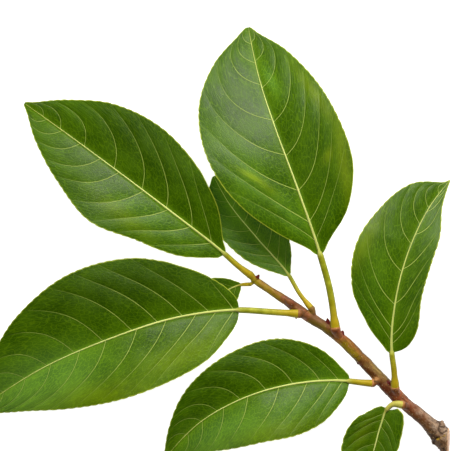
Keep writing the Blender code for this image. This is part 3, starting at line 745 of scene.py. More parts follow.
# Each spot: leaf, centre x, y, half length, half width, turn in degrees, strength
YELLOW_SPOTS = (
    ("b", 20.5, 43.0, 9.0, 1.6, -28.0, 0.62),
    ("b", 27.0, 38.5, 8.0, 2.2, -35.0, 0.30),
    ("b", 58.5, 54.0, 5.0, 2.5, 60.0, 0.45),
    ("b", 66.0, 52.0, 30.0, 4.0, 98.0, 0.42),
    ("b", 52.0, 84.0, 22.0, 3.5, 125.0, 0.34),
    ("d", -14.0, -46.0, 30.0, 9.0, 26.0, 0.30),
    ("d", -52.0, -66.0, 38.0, 9.0, 10.0, 0.30),
    ("g", 76.0, 10.0, 24.0, 5.0, 62.0, 0.30),
    ("f", 34.0, -84.0, 34.0, 6.0, 14.0, 0.22),
    ("a", -44.0, 24.0, 22.0, 5.0, -38.0, 0.22),
    ("h", 76.0, -84.0, 12.0, 4.0, 60.0, 0.25),
)
# Spots of painted light, where a half blade faces the softbox or lies in another leaf's shadow
PAINTED_LIGHT_SPOTS = (
    ("c", 20.0, 12.0, 90.0, 90.0, 0.0, 0.32),
    ("d", -84.0, -60.0, 38.0, 19.0, 22.0, 0.72),
    ("f", 6.0, -87.0, 26.0, 14.0, 30.0, 0.70),
    ("g", 82.0, -12.0, 24.0, 10.0, 80.0, 0.12),
    ("b", 29.5, 91.5, 10.0, 3.5, -62.0, 0.40),
    ("b", 39.0, 25.0, 22.0, 8.0, 130.0, 0.26),
    ("b", 57.0, 25.0, 16.0, 6.0, 60.0, 0.15),
    ("f", 50.0, -54.5, 22.0, 6.0, -14.0, 0.28),
    ("a", -32.0, 24.0, 30.0, 10.0, -38.0, 0.22),
    ("b", 18.0, 44.0, 28.0, 12.0, 110.0, 0.30),
    ("d", -20.0, -50.0, 60.0, 14.0, 22.0, 0.15),
    ("f", 38.0, -74.0, 36.0, 11.0, 12.0, 0.28),
)
# Spots of painted shade, where a half blade turns away from the softbox
PAINTED_SHADE_SPOTS = (
    ("d", -40.0, -10.0, 60.0, 15.0, 12.0, 0.42),
    ("a", -30.0, 58.0, 42.0, 12.0, -38.0, 0.30),
    ("f", 22.0, -52.0, 40.0, 8.0, 10.0, 0.15),
    ("b", 14.0, 66.0, 32.0, 12.0, 100.0, 0.38),
    ("a", -50.0, 42.0, 26.0, 6.0, -36.0, 0.30),
    ("a", -62.0, 50.0, 18.0, 8.0, -40.0, 0.22),
)


def spotted(letter, points, spots):
    """How strongly the spots cover each point of a leaf, 0 to 1."""
    share = np.zeros(len(points))
    for spot_leaf, x, y, half_long, half_wide, turn, strength in spots:
        if spot_leaf != letter:
            continue
        angle = math.radians(turn)
        dx, dy = points[:, 0] - x, points[:, 1] - y
        along = (dx * math.cos(angle) + dy * math.sin(angle)) / half_long
        aside = (dy * math.cos(angle) - dx * math.sin(angle)) / half_wide
        share = np.maximum(share, strength * np.exp(-SPOT_FALL * (along**2 + aside**2)))
    return share


blades = {}
for letter in LEAVES:
    skin = build_blade(letter, leaf_green)
    places = points_of(skin.data)
    # pale is the share of painted light and deep the share of painted shade
    pale, deep = spotted(letter, places, PAINTED_LIGHT_SPOTS), spotted(letter, places, PAINTED_SHADE_SPOTS)
    store(skin.data, "yellow", spotted(letter, places, YELLOW_SPOTS))
    store(skin.data, "painted_light_and_shade", 1 + PAINTED_LIGHT_GAIN * pale - PAINTED_SHADE_LOSS * deep)
    blades[letter] = skin
    print(skin.name, len(skin.data.polygons), "faces")

# %% [markdown]
# Stalks and the ribs under the leaves
#
# A petiole, a midrib and a side vein are all the same thing to make: a round rod that follows a line and
# thins along it. Geometry Nodes do this well. A curve carries its radius at every point, and the tree sweeps
# a circle along it, so one tree serves all the stalks and all the veins. It also stores how far each point is
# from the foot of its rod, so that the material can turn from one colour to another along the way.

# %% A tree that sweeps a rod along a curve


def rod_tree():
    """Geometry Nodes: a round rod along each line, as thick as the line's own radius says."""
    tree = bpy.data.node_groups.new("rod_along_line", "GeometryNodeTree")
    interface = tree.interface
    interface.new_socket("Line", in_out="INPUT", socket_type="NodeSocketGeometry")
    sides = interface.new_socket("Sides", in_out="INPUT", socket_type="NodeSocketInt")
    sides.default_value = 16
    interface.new_socket("Surface", in_out="INPUT", socket_type="NodeSocketMaterial")
    interface.new_socket("Rod", in_out="OUTPUT", socket_type="NodeSocketGeometry")
    given = node(tree, "NodeGroupInput")
    run = node(tree, "GeometryNodeSplineParameter")
    kept = node(
        tree, "GeometryNodeStoreNamedAttribute",
        {"Geometry": given.outputs["Line"], "Name": "from_foot", "Value": run.outputs["Length"]},
        data_type="FLOAT", domain="POINT",
    )
    circle = node(
        tree, "GeometryNodeCurvePrimitiveCircle", {"Resolution": given.outputs["Sides"], "Radius": 1.0}
    )
    radius = node(tree, "GeometryNodeInputRadius")
    swept_rod = node(
        tree, "GeometryNodeCurveToMesh",
        {"Curve": kept.outputs[0], "Profile Curve": circle.outputs[0], "Scale": radius.outputs[0],
         "Fill Caps": True},
    )
    smooth = node(tree, "GeometryNodeSetShadeSmooth", {"Geometry": swept_rod.outputs[0]})
    real = node(tree, "GeometryNodeRealizeInstances", {"Geometry": smooth.outputs[0]})
    painted = node(
        tree, "GeometryNodeSetMaterial", {"Geometry": real.outputs[0], "Material": given.outputs["Surface"]}
    )
    node(tree, "NodeGroupOutput", {0: painted.outputs[0]})
    return tree


def line_object(name, lines):
    """A curve object from lines, each a pair: points in millimetres and a radius at each."""
    curve = bpy.data.curves.new(name, "CURVE")
    curve.dimensions = "3D"
    for points, radii in lines:
        spline = curve.splines.new("POLY")
        spline.points.add(len(points) - 1)
        flat = np.concatenate([np.asarray(points) * MM, np.ones((len(points), 1))], axis=1)
        spline.points.foreach_set("co", flat.reshape(-1))
        spline.points.foreach_set("radius", np.asarray(radii) * MM)
    made = bpy.data.objects.new(name, curve)
    SCENE.collection.objects.link(made)
    return made


def finished(source, tree, name, **values):
    """A plain mesh object from what a tree makes of the source, which is then removed."""
    modifier = source.modifiers.new("tree", "NODES")
    modifier.node_group = tree
    sockets = {item.name: item.identifier for item in tree.interface.items_tree if item.in_out == "INPUT"}
    for label, value in values.items():
        modifier[sockets[label]] = value
    view = bpy.context.evaluated_depsgraph_get()
    grown = source.evaluated_get(view)
    mesh = bpy.data.meshes.new_from_object(grown, preserve_all_data_layers=True, depsgraph=view)
    bpy.data.objects.remove(source)
    mesh.name = name
    made = bpy.data.objects.new(name, mesh)
    SCENE.collection.objects.link(made)
    return made


rod_along_line = rod_tree()
print("rod tree:", len(rod_along_line.nodes), "nodes")

# %% [markdown]
# The stalk is yellow-green and satin, golden at its foot on the twig, and its midrib pales to a creamy yellow
# along the blade. Its steep sides, which turn away from the light, carry a painted shade of darker olive,
# weaker on the midrib. Fine streaks run along it.

# %% Material of the stalks
STALK_GREEN = linear(156, 160, 28)
STALK_LIGHT = linear(192, 195, 58)
STALK_GOLD = linear(198, 168, 26)
MIDRIB_CREAM = linear(236, 246, 146)
SIDE_SHADE_OLIVE = linear(84, 84, 4)
STREAK_OLIVE = linear(126, 130, 40)


def stalk_material():
    """The skin of petioles, midribs and ribs. It reads how far a point is from its foot, in metres."""
    made, tree, shader = new_material("stalk_green")
    place = node(tree, "ShaderNodeTexCoord").outputs["Object"]
    foot, on_blade = attribute(tree, "from_foot"), attribute(tree, "on_blade")
    clouds = noise_of(tree, place, 220.0, 3.0)
    streaks = noise_of(tree, place, 1500.0, 2.0)
    ground = mixed(tree, soft_step(tree, clouds, 0.35, 0.7), STALK_GREEN, STALK_LIGHT)
    ground = mixed(tree, soft_step(tree, streaks, 0.45, 0.75, 0.0, 0.25), ground, STREAK_OLIVE)
    ground = mixed(tree, soft_step(tree, foot, 0.001, 0.02, 0.85, 0.0), ground, STALK_GOLD)
    ground = mixed(tree, on_blade, ground, MIDRIB_CREAM)
    # Painted shade on the stalk's steep sides, weaker on the midrib
    on_petiole = soft_step(tree, on_blade, 0.0, 0.6, 1.0, 0.3)
    ground = mixed(tree, times(tree, side_shade(tree, 0.6), on_petiole), ground, SIDE_SHADE_OLIVE)
    tree.links.new(ground, shader.inputs["Base Color"])
    shader.inputs["Roughness"].default_value = 0.42
    shader.inputs["Specular IOR Level"].default_value = 0.2
    shader.inputs["Subsurface Weight"].default_value = 0.08
    shader.inputs["Subsurface Radius"].default_value = (0.0012, 0.0016, 0.0004)
    bump = node(tree, "ShaderNodeBump", {"Height": streaks, "Strength": 0.35, "Distance": 0.00015})
    tree.links.new(bump.outputs[0], shader.inputs["Normal"])
    return made


stalk_green = stalk_material()
print("stalk material:", len(stalk_green.node_tree.nodes), "nodes")

# %% [markdown]
# The stalk's line runs from its foot on the twig to the blade's tip. Along the blade it sinks a little, so
# that the midrib stands low above the upper side and round beneath, as on the real leaf.

# %% Build the stalks
STALK_POINTS = 150
STALK_SIDES = 20
# The thick foot: its length in mm, the share of that along which it hardly narrows, and its width there
FLARE_LENGTH = 5.0
FLARE_HOLD = 0.35
FLARE_TAPER = 0.96
# The petiole's width where the blade starts, as a share of its usual one
PETIOLE_END = 0.92
# Millimetres over which the petiole narrows into the midrib, and by which its foot nears its cushion
NARROWING = 3.0
FOOT_REACH = 0.32
# Place along the blade and the midrib's radius there, as a share of the solid's, and where the midrib ends
MIDRIB_SHARES = ((0, 0.64), (0.12, 0.52), (0.5, 0.42), (0.85, 0.38), (1, 0.2))
MIDRIB_END = 0.992
# How deep the midrib sinks, as a share of its radius, and the millimetres over which it does
RIB_SINK = 0.3
SINK_LENGTH = 6
# Place along the blade and how creamy the midrib is there, and the least and the most of it on two leaves
PALENESS = ((0, 0.6), (0.28, 1.0), (0.62, 1.0), (1, 0.4))
PALE_LIMITS = {"g": (0, 0.7), "h": (0.35, 1)}


def stalk_line(letter):
    """Points and radii of a petiole and its midrib, and how creamy each is."""
    leaf = LEAVES[letter]
    line, first = STALK_LINES[letter], BLADE_STARTS[letter]
    below = lengths(line) - lengths(line)[first]
    foot, whole = below[0], below[-1]
    wanted = np.linspace(foot, MIDRIB_END * whole, STALK_POINTS)
    points = read_at(below, line, wanted)
    base, petiole = leaf["base"], leaf["petiole"]
    outside = np.interp(
        wanted,
        (foot, foot + FLARE_HOLD * FLARE_LENGTH, foot + FLARE_LENGTH, 0),
        np.array([base, base * FLARE_TAPER, petiole, PETIOLE_END * petiole]) / 2,
    )
    share = np.clip(wanted / whole, 0, 1)
    inside = rib_radius(leaf, share) * np.interp(share, *zip(*MIDRIB_SHARES))
    inside = np.maximum(inside, PETIOLE_END / 2 * petiole * (1 - wanted / NARROWING))
    radii = np.where(wanted < 0, outside, inside)
    points[:, 2] -= RIB_SINK * radii * np.clip(wanted / SINK_LENGTH, 0, 1)
    first_step = points[1] - points[0]
    points[0] -= FOOT_REACH * first_step / np.linalg.norm(first_step)
    pale = np.interp(share, *zip(*PALENESS)) * np.clip(wanted / 4 + 0.3, 0, 1)
    return points, radii, np.clip(pale, *PALE_LIMITS.get(letter, (0, 1)))


stalks = {}
for letter in LEAVES:
    points, radii, on_blade = stalk_line(letter)
    stalk = finished(
        line_object(f"leaf_{letter}_line", [(points, radii)]), rod_along_line, f"leaf_{letter}_rod",
        Sides=STALK_SIDES, Surface=stalk_green,
    )
    near = [int(np.argmin(np.sum((points - place) ** 2, axis=1))) for place in points_of(stalk.data)]
    store(stalk.data, "on_blade", on_blade[near])
    stalks[letter] = stalk
    print(stalk.name, len(stalk.data.polygons), "faces")

# %% [markdown]
# Beneath, each side vein is a slim rib that tapers towards the margin. Its line is read from the blade's own
# grid and lies at the underside, so it follows every swell of the leaf.

# %% Build the ribs beneath the blades
RIB_SIDES = 8
RIB_START_RADIUS = 0.36
RIB_END_RADIUS = 0.10
RIB_HOLD = 0.02             # mm of the rib's line inside the blade

vein_ribs = {}
for letter in LEAVES:
    lines = []
    for hand in (1, -1):
        grid, _ = half_blade(letter, hand)
        for row in range(ROWS_PER_VEIN, grid.shape[0] - 1, ROWS_PER_VEIN):
            line = grid[row, 2:-4:2] - np.array((0, 0, BLADE_THICKNESS - RIB_HOLD))
            share = np.linspace(0, 1, len(line))
            lines.append((line, RIB_START_RADIUS + (RIB_END_RADIUS - RIB_START_RADIUS) * share**0.7))
    ribs = finished(
        line_object(f"leaf_{letter}_vein_lines", lines), rod_along_line, f"leaf_{letter}_vein_ribs",
        Sides=RIB_SIDES, Surface=stalk_green,
    )
    vein_ribs[letter] = ribs
    print(ribs.name, len(lines), "veins")

# %% [markdown]
# The twig
#
# The wood, the cushions that the petioles sit on, the buds and the scars all grew as one, and the bark runs
# over them without a break. Separate rods that only cut through each other would show hard creases. So they
# are first built roughly, as overlapping rods, and then melted into one skin by a voxel remesh, smoothed, and
# given their bark by moving each point of the new skin a little.

# %% Sizes of the twig
# Its middle line and its radius there, from the growing tip to past the oblique cut, in millimetres
TWIG = (
    (20.8, -7.6, 13.4, 1.7), (24.5, -10.2, 13.4, 1.9), (30.7, -14.4, 13.2, 1.95), (37.2, -18.6, 12.9, 2.3),
    (47.0, -25.6, 12.4, 2.75), (56.0, -31.2, 11.8, 2.6), (65.5, -38.3, 11.0, 2.85), (75.0, -47.7, 10.0, 3.0),
    (82.5, -55.7, 9.2, 3.1), (92.0, -65.6, 8.0, 3.4), (98.5, -71.5, 7.2, 3.25), (103.7, -75.6, 6.5, 3.4),
    (109.7, -81.0, 5.6, 3.9), (114.5, -85.6, 5.0, 5.3), (118.5, -90.0, 4.9, 5.2), (123.5, -95.5, 4.9, 4.6),
)
TWIG_LUMPS = 0.025          # share of the radius
CUT_POINT = np.array((118.9, -88.0, 5.0))
CUT_NORMAL = np.array((0.985, -0.05, 0.13)) / np.linalg.norm((0.985, -0.05, 0.13))
# Root of the cushion under each petiole, and how pale its collar and how olive the whole is
CUSHIONS = {
    "a": ((22.0, -8.5, 13.4), 0.0, 1.0), "b": ((64.8, -37.8, 11.1), 0.7, 0.0),
    "c": ((51.6, -28.4, 12.1), 0.0, 0.6), "d": ((48.5, -26.6, 12.3), 0.4, 0.0),
    "e": ((22.6, -9.0, 13.3), 0.0, 1.0), "f": ((84.4, -57.8, 8.9), 1.0, 0.0),
    "g": ((93.4, -67.0, 7.8), 1.0, 0.0), "h": ((99.5, -72.4, 7.0), 0.9, 0.2),
}
FOOT_GAP = 0.3
# What grows from the twig: its kind, foot, direction, length and radius. A scale is what is left of a bud, a
# stub is a pale end beside a petiole, and the scars are the lumps round the knob.
BUDS = (
    ("bud", (22.7, -8.0, 14.1), (0.5, 0.85, 0.3), 3.0, 1.15),
    ("scale", (40.6, -20.4, 14.2), (-0.75, 0.5, 0.35), 5.0, 1.9),
    ("bud", (58.9, -31.4, 12.2), (-0.2, 0.85, 0.15), 4.4, 1.3),
    ("bud", (65.0, -36.0, 12.0), (0.3, 0.8, 0.2), 2.8, 1.4),
    ("bud", (43.2, -25.2, 12.2), (-0.3, -0.9, 0.1), 3.0, 1.3),
    ("bud", (74.7, -48.4, 9.8), (-0.6, -0.75, 0.1), 2.9, 1.4),
    ("stub", (83.0, -58.2, 10.6), (-0.4, -0.1, 0.9), 3.0, 1.5),
    ("bud", (89.6, -61.6, 9.6), (-0.2, 0.75, 0.6), 3.4, 1.2),
    ("bud", (93.2, -68.8, 8.6), (-0.85, -0.1, 0.4), 3.2, 1.3),
    ("scar", (113.8, -83.2, 6.4), (0.38, 0.85, 0.3), 5.4, 3.0),
    ("scar", (116.0, -84.6, 6.2), (0.75, 0.66, 0.2), 3.7, 2.7),
    ("scar", (113.3, -87.4, 4.6), (-0.6, -0.75, 0.05), 4.3, 2.7),
    ("scar", (115.4, -85.6, 8.4), (0.2, 0.1, 0.95), 2.4, 2.1),
)
# Place along a bud and its radius there, as shares of its length and its radius
BUD_PROFILE = np.array((
    (-0.35, 0.7), (-0.1, 0.88), (0.1, 1.0), (0.28, 0.98), (0.45, 0.88),
    (0.6, 0.74), (0.75, 0.55), (0.87, 0.36), (0.96, 0.18),
))
TWIG_STEPS = 600
TWIG_KNOTS = smooth_line(TWIG, TWIG_STEPS)
TWIG_RUN = lengths(TWIG_KNOTS[:, :3])
print("twig:", round(TWIG_RUN[-1]), "mm of middle line;", len(BUDS), "buds and scars")

# %% [markdown]
# Each piece starts as a rod of rings, from a few points and a radius at each. The wood swells unevenly, as it
# does over old growth. A cushion ends flat and square to its petiole, and a bud is plump with a blunt tip.
# The wood is cut off along one slanting plane, as shears leave it.

# %% Rods, cushions and buds, still rough
WOOD_SIDES = 36
WOOD_STEP = 0.8
CUSHION_SIDES = 24
BUD_SIDES = 18
# A cushion's rings: how far back from its end, and how wide, as shares of the petiole's radius
CUSHION_BACK = (0.9, 0.3)
CUSHION_WIDTHS = np.array([0.8, 1.02, 1.1, 1.0])
# Size of the cells in which the rods are melted together, in mm, and how often the skin is smoothed
SKIN_VOXEL = 0.27
SMOOTHINGS = 5


def rod(line, radii, sides, headings=None):
    """Points and faces of a closed rod whose rings stand square to the line or to the headings."""
    line = np.asarray(line, float)
    if headings is None:
        _, side, up = directions(line)
    else:
        along = headings / np.linalg.norm(headings, axis=1)[:, None]
        side = np.stack([-along[:, 1], along[:, 0], np.zeros(len(line))], axis=1)
        side /= np.linalg.norm(side, axis=1)[:, None]
        up = np.cross(along, side)
    angles = (np.arange(sides) + 0.5) * 2 * math.pi / sides
    radii = np.broadcast_to(np.asarray(radii, float).reshape(len(line), -1), (len(line), sides))
    ring = radii[:, :, None] * (
        np.cos(angles)[None, :, None] * side[:, None] + np.sin(angles)[None, :, None] * up[:, None]
    )
    points = (line[:, None] + ring).reshape(-1, 3)
    faces = []
    for row in range(len(line) - 1):
        for k in range(sides):
            a, b = row * sides + k, row * sides + (k + 1) % sides
            faces.append((a, b, b + sides, a + sides))
    faces += [tuple(range(sides))[::-1], tuple(len(points) - sides + k for k in range(sides))]
    return points, faces


def wood_rod():
    """The bare twig with its uneven thickness."""
    wanted = np.arange(0, TWIG_RUN[-1], WOOD_STEP)
    line = read_at(TWIG_RUN, TWIG_KNOTS, wanted)
    angles = (np.arange(WOOD_SIDES) + 0.5) * 2 * math.pi / WOOD_SIDES
    run = wanted[:, None]
    lumps = np.sin(0.55 * run + 2 * angles) + 0.7 * np.sin(0.9 * run - 3 * angles + 1)
    lumps = lumps + 0.5 * np.sin(1.7 * run)
    return rod(line[:, :3], line[:, 3:] * (1 + TWIG_LUMPS * lumps), WOOD_SIDES)


def petiole_start(letter):
    """Where a petiole starts, and its direction there."""
    line = STALK_LINES[letter]
    return line[0], (line[3] - line[0]) / np.linalg.norm(line[3] - line[0])


def cushion_rod(letter):
    """The stub under a petiole, which ends flat where the petiole starts."""
    start, along = petiole_start(letter)
    end = start - FOOT_GAP * along
    radius = LEAVES[letter]["base"] / 2
    root = np.array(CUSHIONS[letter][0])
    path = np.array([root, *(end - back * radius * along for back in CUSHION_BACK), end])
    headings = np.array([end - root, along, along, along])
    return rod(path, radius * CUSHION_WIDTHS, CUSHION_SIDES, headings)


def bud_rod(foot, heading, length, radius):
    """A plump rod with a blunt tip, whose foot is inside the wood."""
    heading = np.asarray(heading) / np.linalg.norm(heading)
    line = np.asarray(foot) + np.outer(BUD_PROFILE[:, 0] * length, heading)
    return rod(line, BUD_PROFILE[:, 1] * radius, BUD_SIDES)


def cut_off(points, faces):
    """The rod's points and faces behind the plane of the oblique cut, closed there."""
    editing = bmesh.new()
    corners = [editing.verts.new(point) for point in points]
    for face in faces:
        editing.faces.new([corners[k] for k in face])
    cut = bmesh.ops.bisect_plane(
        editing, geom=editing.verts[:] + editing.edges[:] + editing.faces[:], dist=1e-5,
        plane_co=Vector(CUT_POINT), plane_no=Vector(CUT_NORMAL), clear_outer=True,
    )
    cut_edges = [part for part in cut["geom_cut"] if isinstance(part, bmesh.types.BMEdge)]
    bmesh.ops.edgeloop_fill(editing, edges=cut_edges)
    editing.verts.index_update()
    kept = np.array([vertex.co[:] for vertex in editing.verts])
    sides = [tuple(vertex.index for vertex in face.verts) for face in editing.faces]
    editing.free()
    return kept, sides


rods = [cut_off(*wood_rod()), *(cushion_rod(letter) for letter in CUSHIONS)]
rods += [bud_rod(*sizes) for _, *sizes in BUDS]
rough_mesh = bpy.data.meshes.new("twig_rough")
all_points, all_faces = [], []
for points, faces in rods:
    shift = sum(len(part) for part in all_points)
    all_points.append(points)
    all_faces += [tuple(k + shift for k in face) for face in faces]
rough_mesh.from_pydata((np.concatenate(all_points) * MM).tolist(), [], all_faces)
rough = bpy.data.objects.new("twig_rough", rough_mesh)
SCENE.collection.objects.link(rough)
melt = rough.modifiers.new("melt", "REMESH")
melt.mode = "VOXEL"
melt.voxel_size = SKIN_VOXEL * MM
soften = rough.modifiers.new("soften", "SMOOTH")
soften.factor = 0.5
soften.iterations = SMOOTHINGS
view = bpy.context.evaluated_depsgraph_get()
skin_mesh = bpy.data.meshes.new_from_object(rough.evaluated_get(view), depsgraph=view)
bpy.data.objects.remove(rough)
print("melted skin:", len(skin_mesh.polygons), "faces")

# %% [markdown]
# Each point of the skin now learns where it is: how far along the twig, on which side, how near a bud, a
# cushion or the cut. Fine lengthwise ridges and a few ring scars at the nodes are then raised from the skin,
# and the same numbers colour the bark.

# %% Bark relief and what the bark's material reads
# Millimetres along the twig to each ring scar, and the scars' depth and half width
NODES_ALONG = (2.0, 20.0, 31.0, 49.0, 66.0, 84.0, 90.0, 99.0, 122.0)
RING_DEPTH = 0.14
RING_WIDTH = 0.35
# In millimetres: the lengthwise ridges, a cushion's cream collar and the rim of the cut
RIDGE_HEIGHT = 0.10
COLLAR_LENGTH = 1.0
CUT_RIM = 0.35
# Where the old knob starts along the twig, over how many millimetres it grows rough, and how rough
KNOB_START = 112
KNOB_LENGTH = 8
KNOB_ROUGHNESS = 0.42
CRACK_DEPTH = 0.55
CRACK_WIDTH = 0.34
# Plan of the deep cracks in the top of the knob
KNOB_CRACKS = (
    ((113.4, -78.4), (114.2, -80.5), (113.4, -83.4), (115.0, -85.4)),
    ((115.0, -85.4), (117.6, -83.6)),
    ((113.0, -87.0), (111.2, -88.6), (111.6, -91.6)),
    ((114.8, -81.8), (116.4, -82.0)),
)
YELLOW_STREAK = ((113.0, -87.9, 9.6), (116.4, -86.0, 9.9))

skin_points = points_of(skin_mesh)
skin_normals = np.zeros(len(skin_mesh.vertices) * 3)
skin_mesh.vertices.foreach_get("normal", skin_normals)
skin_normals = skin_normals.reshape(-1, 3)

# The twig's nearest place for each point, worked out in parts to spare memory
nearest = np.concatenate([
    np.argmin(((part[:, None] - TWIG_KNOTS[None, :, :3]) ** 2).sum(axis=2), axis=1)
    for part in np.array_split(skin_points, 60)
])
_, knot_side, knot_up = directions(TWIG_KNOTS[:, :3])
off_axis = skin_points - TWIG_KNOTS[nearest, :3]
around = np.arctan2((off_axis * knot_up[nearest]).sum(axis=1), (off_axis * knot_side[nearest]).sum(axis=1))
run = TWIG_RUN[nearest]


def distance_to(path, points, samples):
    """How far points are from a path, which is read at a few samples on each of its stretches."""
    path = np.asarray(path, float)
    on_path = np.concatenate([np.linspace(a, b, samples) for a, b in zip(path, path[1:])])
    return np.sqrt(((points[:, None] - on_path[None]) ** 2).sum(axis=2)).min(axis=1)


def near_rod(path, radius):
    """1 up to 0.6 of the radius from the path, falling to 0 at 1.6 of it."""
    return np.clip(1.6 - distance_to(path, skin_points, 12) / radius, 0, 1)


def near_buds(wanted, size):
    """1 on the outer part of the buds of the wanted kind, as wide as size times their radius."""
    share = np.zeros(len(skin_points))
    for kind, foot, heading, length, radius in BUDS:
        if kind != wanted:
            continue
        tip = np.asarray(foot) + length * np.asarray(heading) / np.linalg.norm(heading)
        share = np.maximum(share, near_rod([np.asarray(foot) * 0.6 + tip * 0.4, tip], radius * size))
    return share


bud_share = near_buds("bud", 1.05)
scale_share = near_buds("scale", 1.15)
scar_share = near_buds("scar", 0.9)
streak_share = near_rod(YELLOW_STREAK, 0.5)
olive_share, foot_share, foot_light_share = np.zeros((3, len(skin_points)))
collar_share = 0.55 * near_buds("stub", 1.0)
for letter, (root, collar, olive) in CUSHIONS.items():
    start, along = petiole_start(letter)
    radius = LEAVES[letter]["base"] / 2
    inside = near_rod([np.asarray(root) * 0.25 + start * 0.75, start], radius * 1.05)
    depth = (start - skin_points) @ along
    wide = near_rod([root, start], radius * 1.3)
    foot_share = np.maximum(foot_share, wide)
    # Where painted light brightens a cushion's foot, over the petiole's shadow
    foot_light_share = np.maximum(foot_light_share, wide * (1 - olive))
    olive_share = np.maximum(olive_share, olive * inside)
    collar_share = np.maximum(collar_share, collar * inside * np.clip(1.8 - depth / COLLAR_LENGTH, 0, 1))
from_cut = (CUT_POINT - skin_points) @ CUT_NORMAL
cut_share = np.clip(1.6 - from_cut / CUT_RIM, 0, 1)

relief = np.zeros(len(skin_points))
for k, (angle, length) in enumerate(zip(around, run)):
    broad = noise.noise(Vector((math.cos(angle) * 2.6, math.sin(angle) * 2.6, length / 7.0)))
    fine = noise.noise(Vector((math.cos(angle) * 7.0, math.sin(angle) * 7.0, length / 3.0)))
    relief[k] = RIDGE_HEIGHT * (broad + 0.6 * fine)
for place in NODES_ALONG:
    relief -= RING_DEPTH * np.exp(-(((run - place - 0.5 * np.sin(2 * around)) / RING_WIDTH) ** 2))
knob = np.clip((run - KNOB_START) / KNOB_LENGTH, 0, 1)
lumps = np.array([
    noise.noise(Vector(point) / 1.6) + 0.5 * noise.noise(Vector(point) / 0.7) for point in skin_points
])
relief += KNOB_ROUGHNESS * knob * lumps * (1 - cut_share)
seams = np.array([noise.noise(Vector(point) / 2.6 + Vector((7, 3, 1))) for point in skin_points])
cracks = 0.6 * np.clip(1.0 - np.abs(seams) / 0.08, 0, 1) * knob * (1 - cut_share)
for path in KNOB_CRACKS:
    far = distance_to(path, skin_points[:, :2], 14)
    cracks = np.maximum(cracks, np.clip(1.5 - far / CRACK_WIDTH, 0, 1) * (skin_normals[:, 2] > 0))
relief -= CRACK_DEPTH * cracks
relief *= (1 - 0.8 * np.maximum(bud_share, scale_share)) * (1 - 0.7 * np.maximum(olive_share, collar_share))
# Painted shade: how dark the hollows and cracks of the relief are painted
hollow_shade_share = np.clip(np.maximum(cracks, -relief / 0.3), 0, 1)
skin_points = skin_points + skin_normals * relief[:, None]
skin_points[:, 2] = np.maximum(skin_points[:, 2], 0.0)
skin_mesh.vertices.foreach_set("co", (skin_points * MM).reshape(-1))
print("bark relief from", round(relief.min(), 2), "to", round(relief.max(), 2), "mm")

# %% [markdown]
# The bark changes along the twig: olive-green where it is youngest, red-brown at each node, straw-coloured
# between two of them, and grey-brown at the old knob. Two colour ramps over the distance along the twig hold
# those colours, one for the side that is lower left in the picture and one for the side that is upper right,
# and noise shifts them a little, so that no band ends in a clean ring. On the young part the upper right side
# is redder, as bark that faces the sun is; further on it is paler and the lower left darker, which is painted
# light and shade from the softbox. Pale streaks are partly a painted highlight. Buds are dark red. The
# cushions under the petioles are brown at their foot, painted lighter where the petioles cast their shadow,
# some of them olive like the petioles and some with a cream collar. Painted shade darkens the hollows of the
# relief and the twig's steep sides. The cut shows pale wood with a thin rim.

# %% Material of the bark
# Share of the way along the twig, and the colours of its lower left and its upper right side there. From the
# middle on, the upper right side is painted lighter, as lit, and the lower left darker, as shaded
BARK_COLOURS = (
    (0.00, (176, 158, 24), (180, 150, 36)), (0.06, (166, 140, 28), (168, 126, 52)),
    (0.13, (158, 128, 26), (156, 112, 50)), (0.17, (122, 74, 36), (136, 82, 50)),
    (0.24, (118, 84, 38), (136, 94, 62)), (0.31, (128, 108, 32), (138, 98, 62)),
    (0.365, (130, 86, 28), (120, 44, 34)), (0.41, (168, 144, 18), (166, 104, 42)),
    (0.47, (160, 136, 22), (170, 112, 50)), (0.505, (112, 62, 28), (168, 120, 60)),
    (0.57, (112, 70, 32), (178, 148, 80)), (0.64, (118, 56, 32), (148, 104, 62)),
    (0.73, (132, 66, 36), (154, 86, 56)), (0.80, (124, 76, 42), (178, 144, 118)),
    (0.88, (132, 98, 66), (188, 164, 142)), (0.96, (150, 118, 86), (186, 162, 136)),
)
BUD_RED = linear(104, 28, 28)
SCALE_RED = linear(138, 72, 56)
FOOT_LIGHT_BROWN = linear(186, 104, 66)
CUSHION_OLIVE = linear(178, 160, 26)
COLLAR_CREAM = linear(232, 170, 104)
HOLLOW_SHADE_BROWN = linear(44, 26, 18)
SIDE_SHADE_BROWN = linear(60, 34, 14)
STREAK_YELLOW = linear(236, 190, 60)
CUT_WOOD = linear(236, 192, 154)
CUT_HEART = linear(186, 142, 104)
SCAR_BROWN = linear(168, 134, 106)
STREAK_BROWN = linear(86, 50, 30)
STRAW_HIGHLIGHT = linear(206, 170, 122)
SPECK_BROWN = linear(74, 48, 30)
RING_TURN = 4.2             # radians of the cut's ring pattern to the millimetre


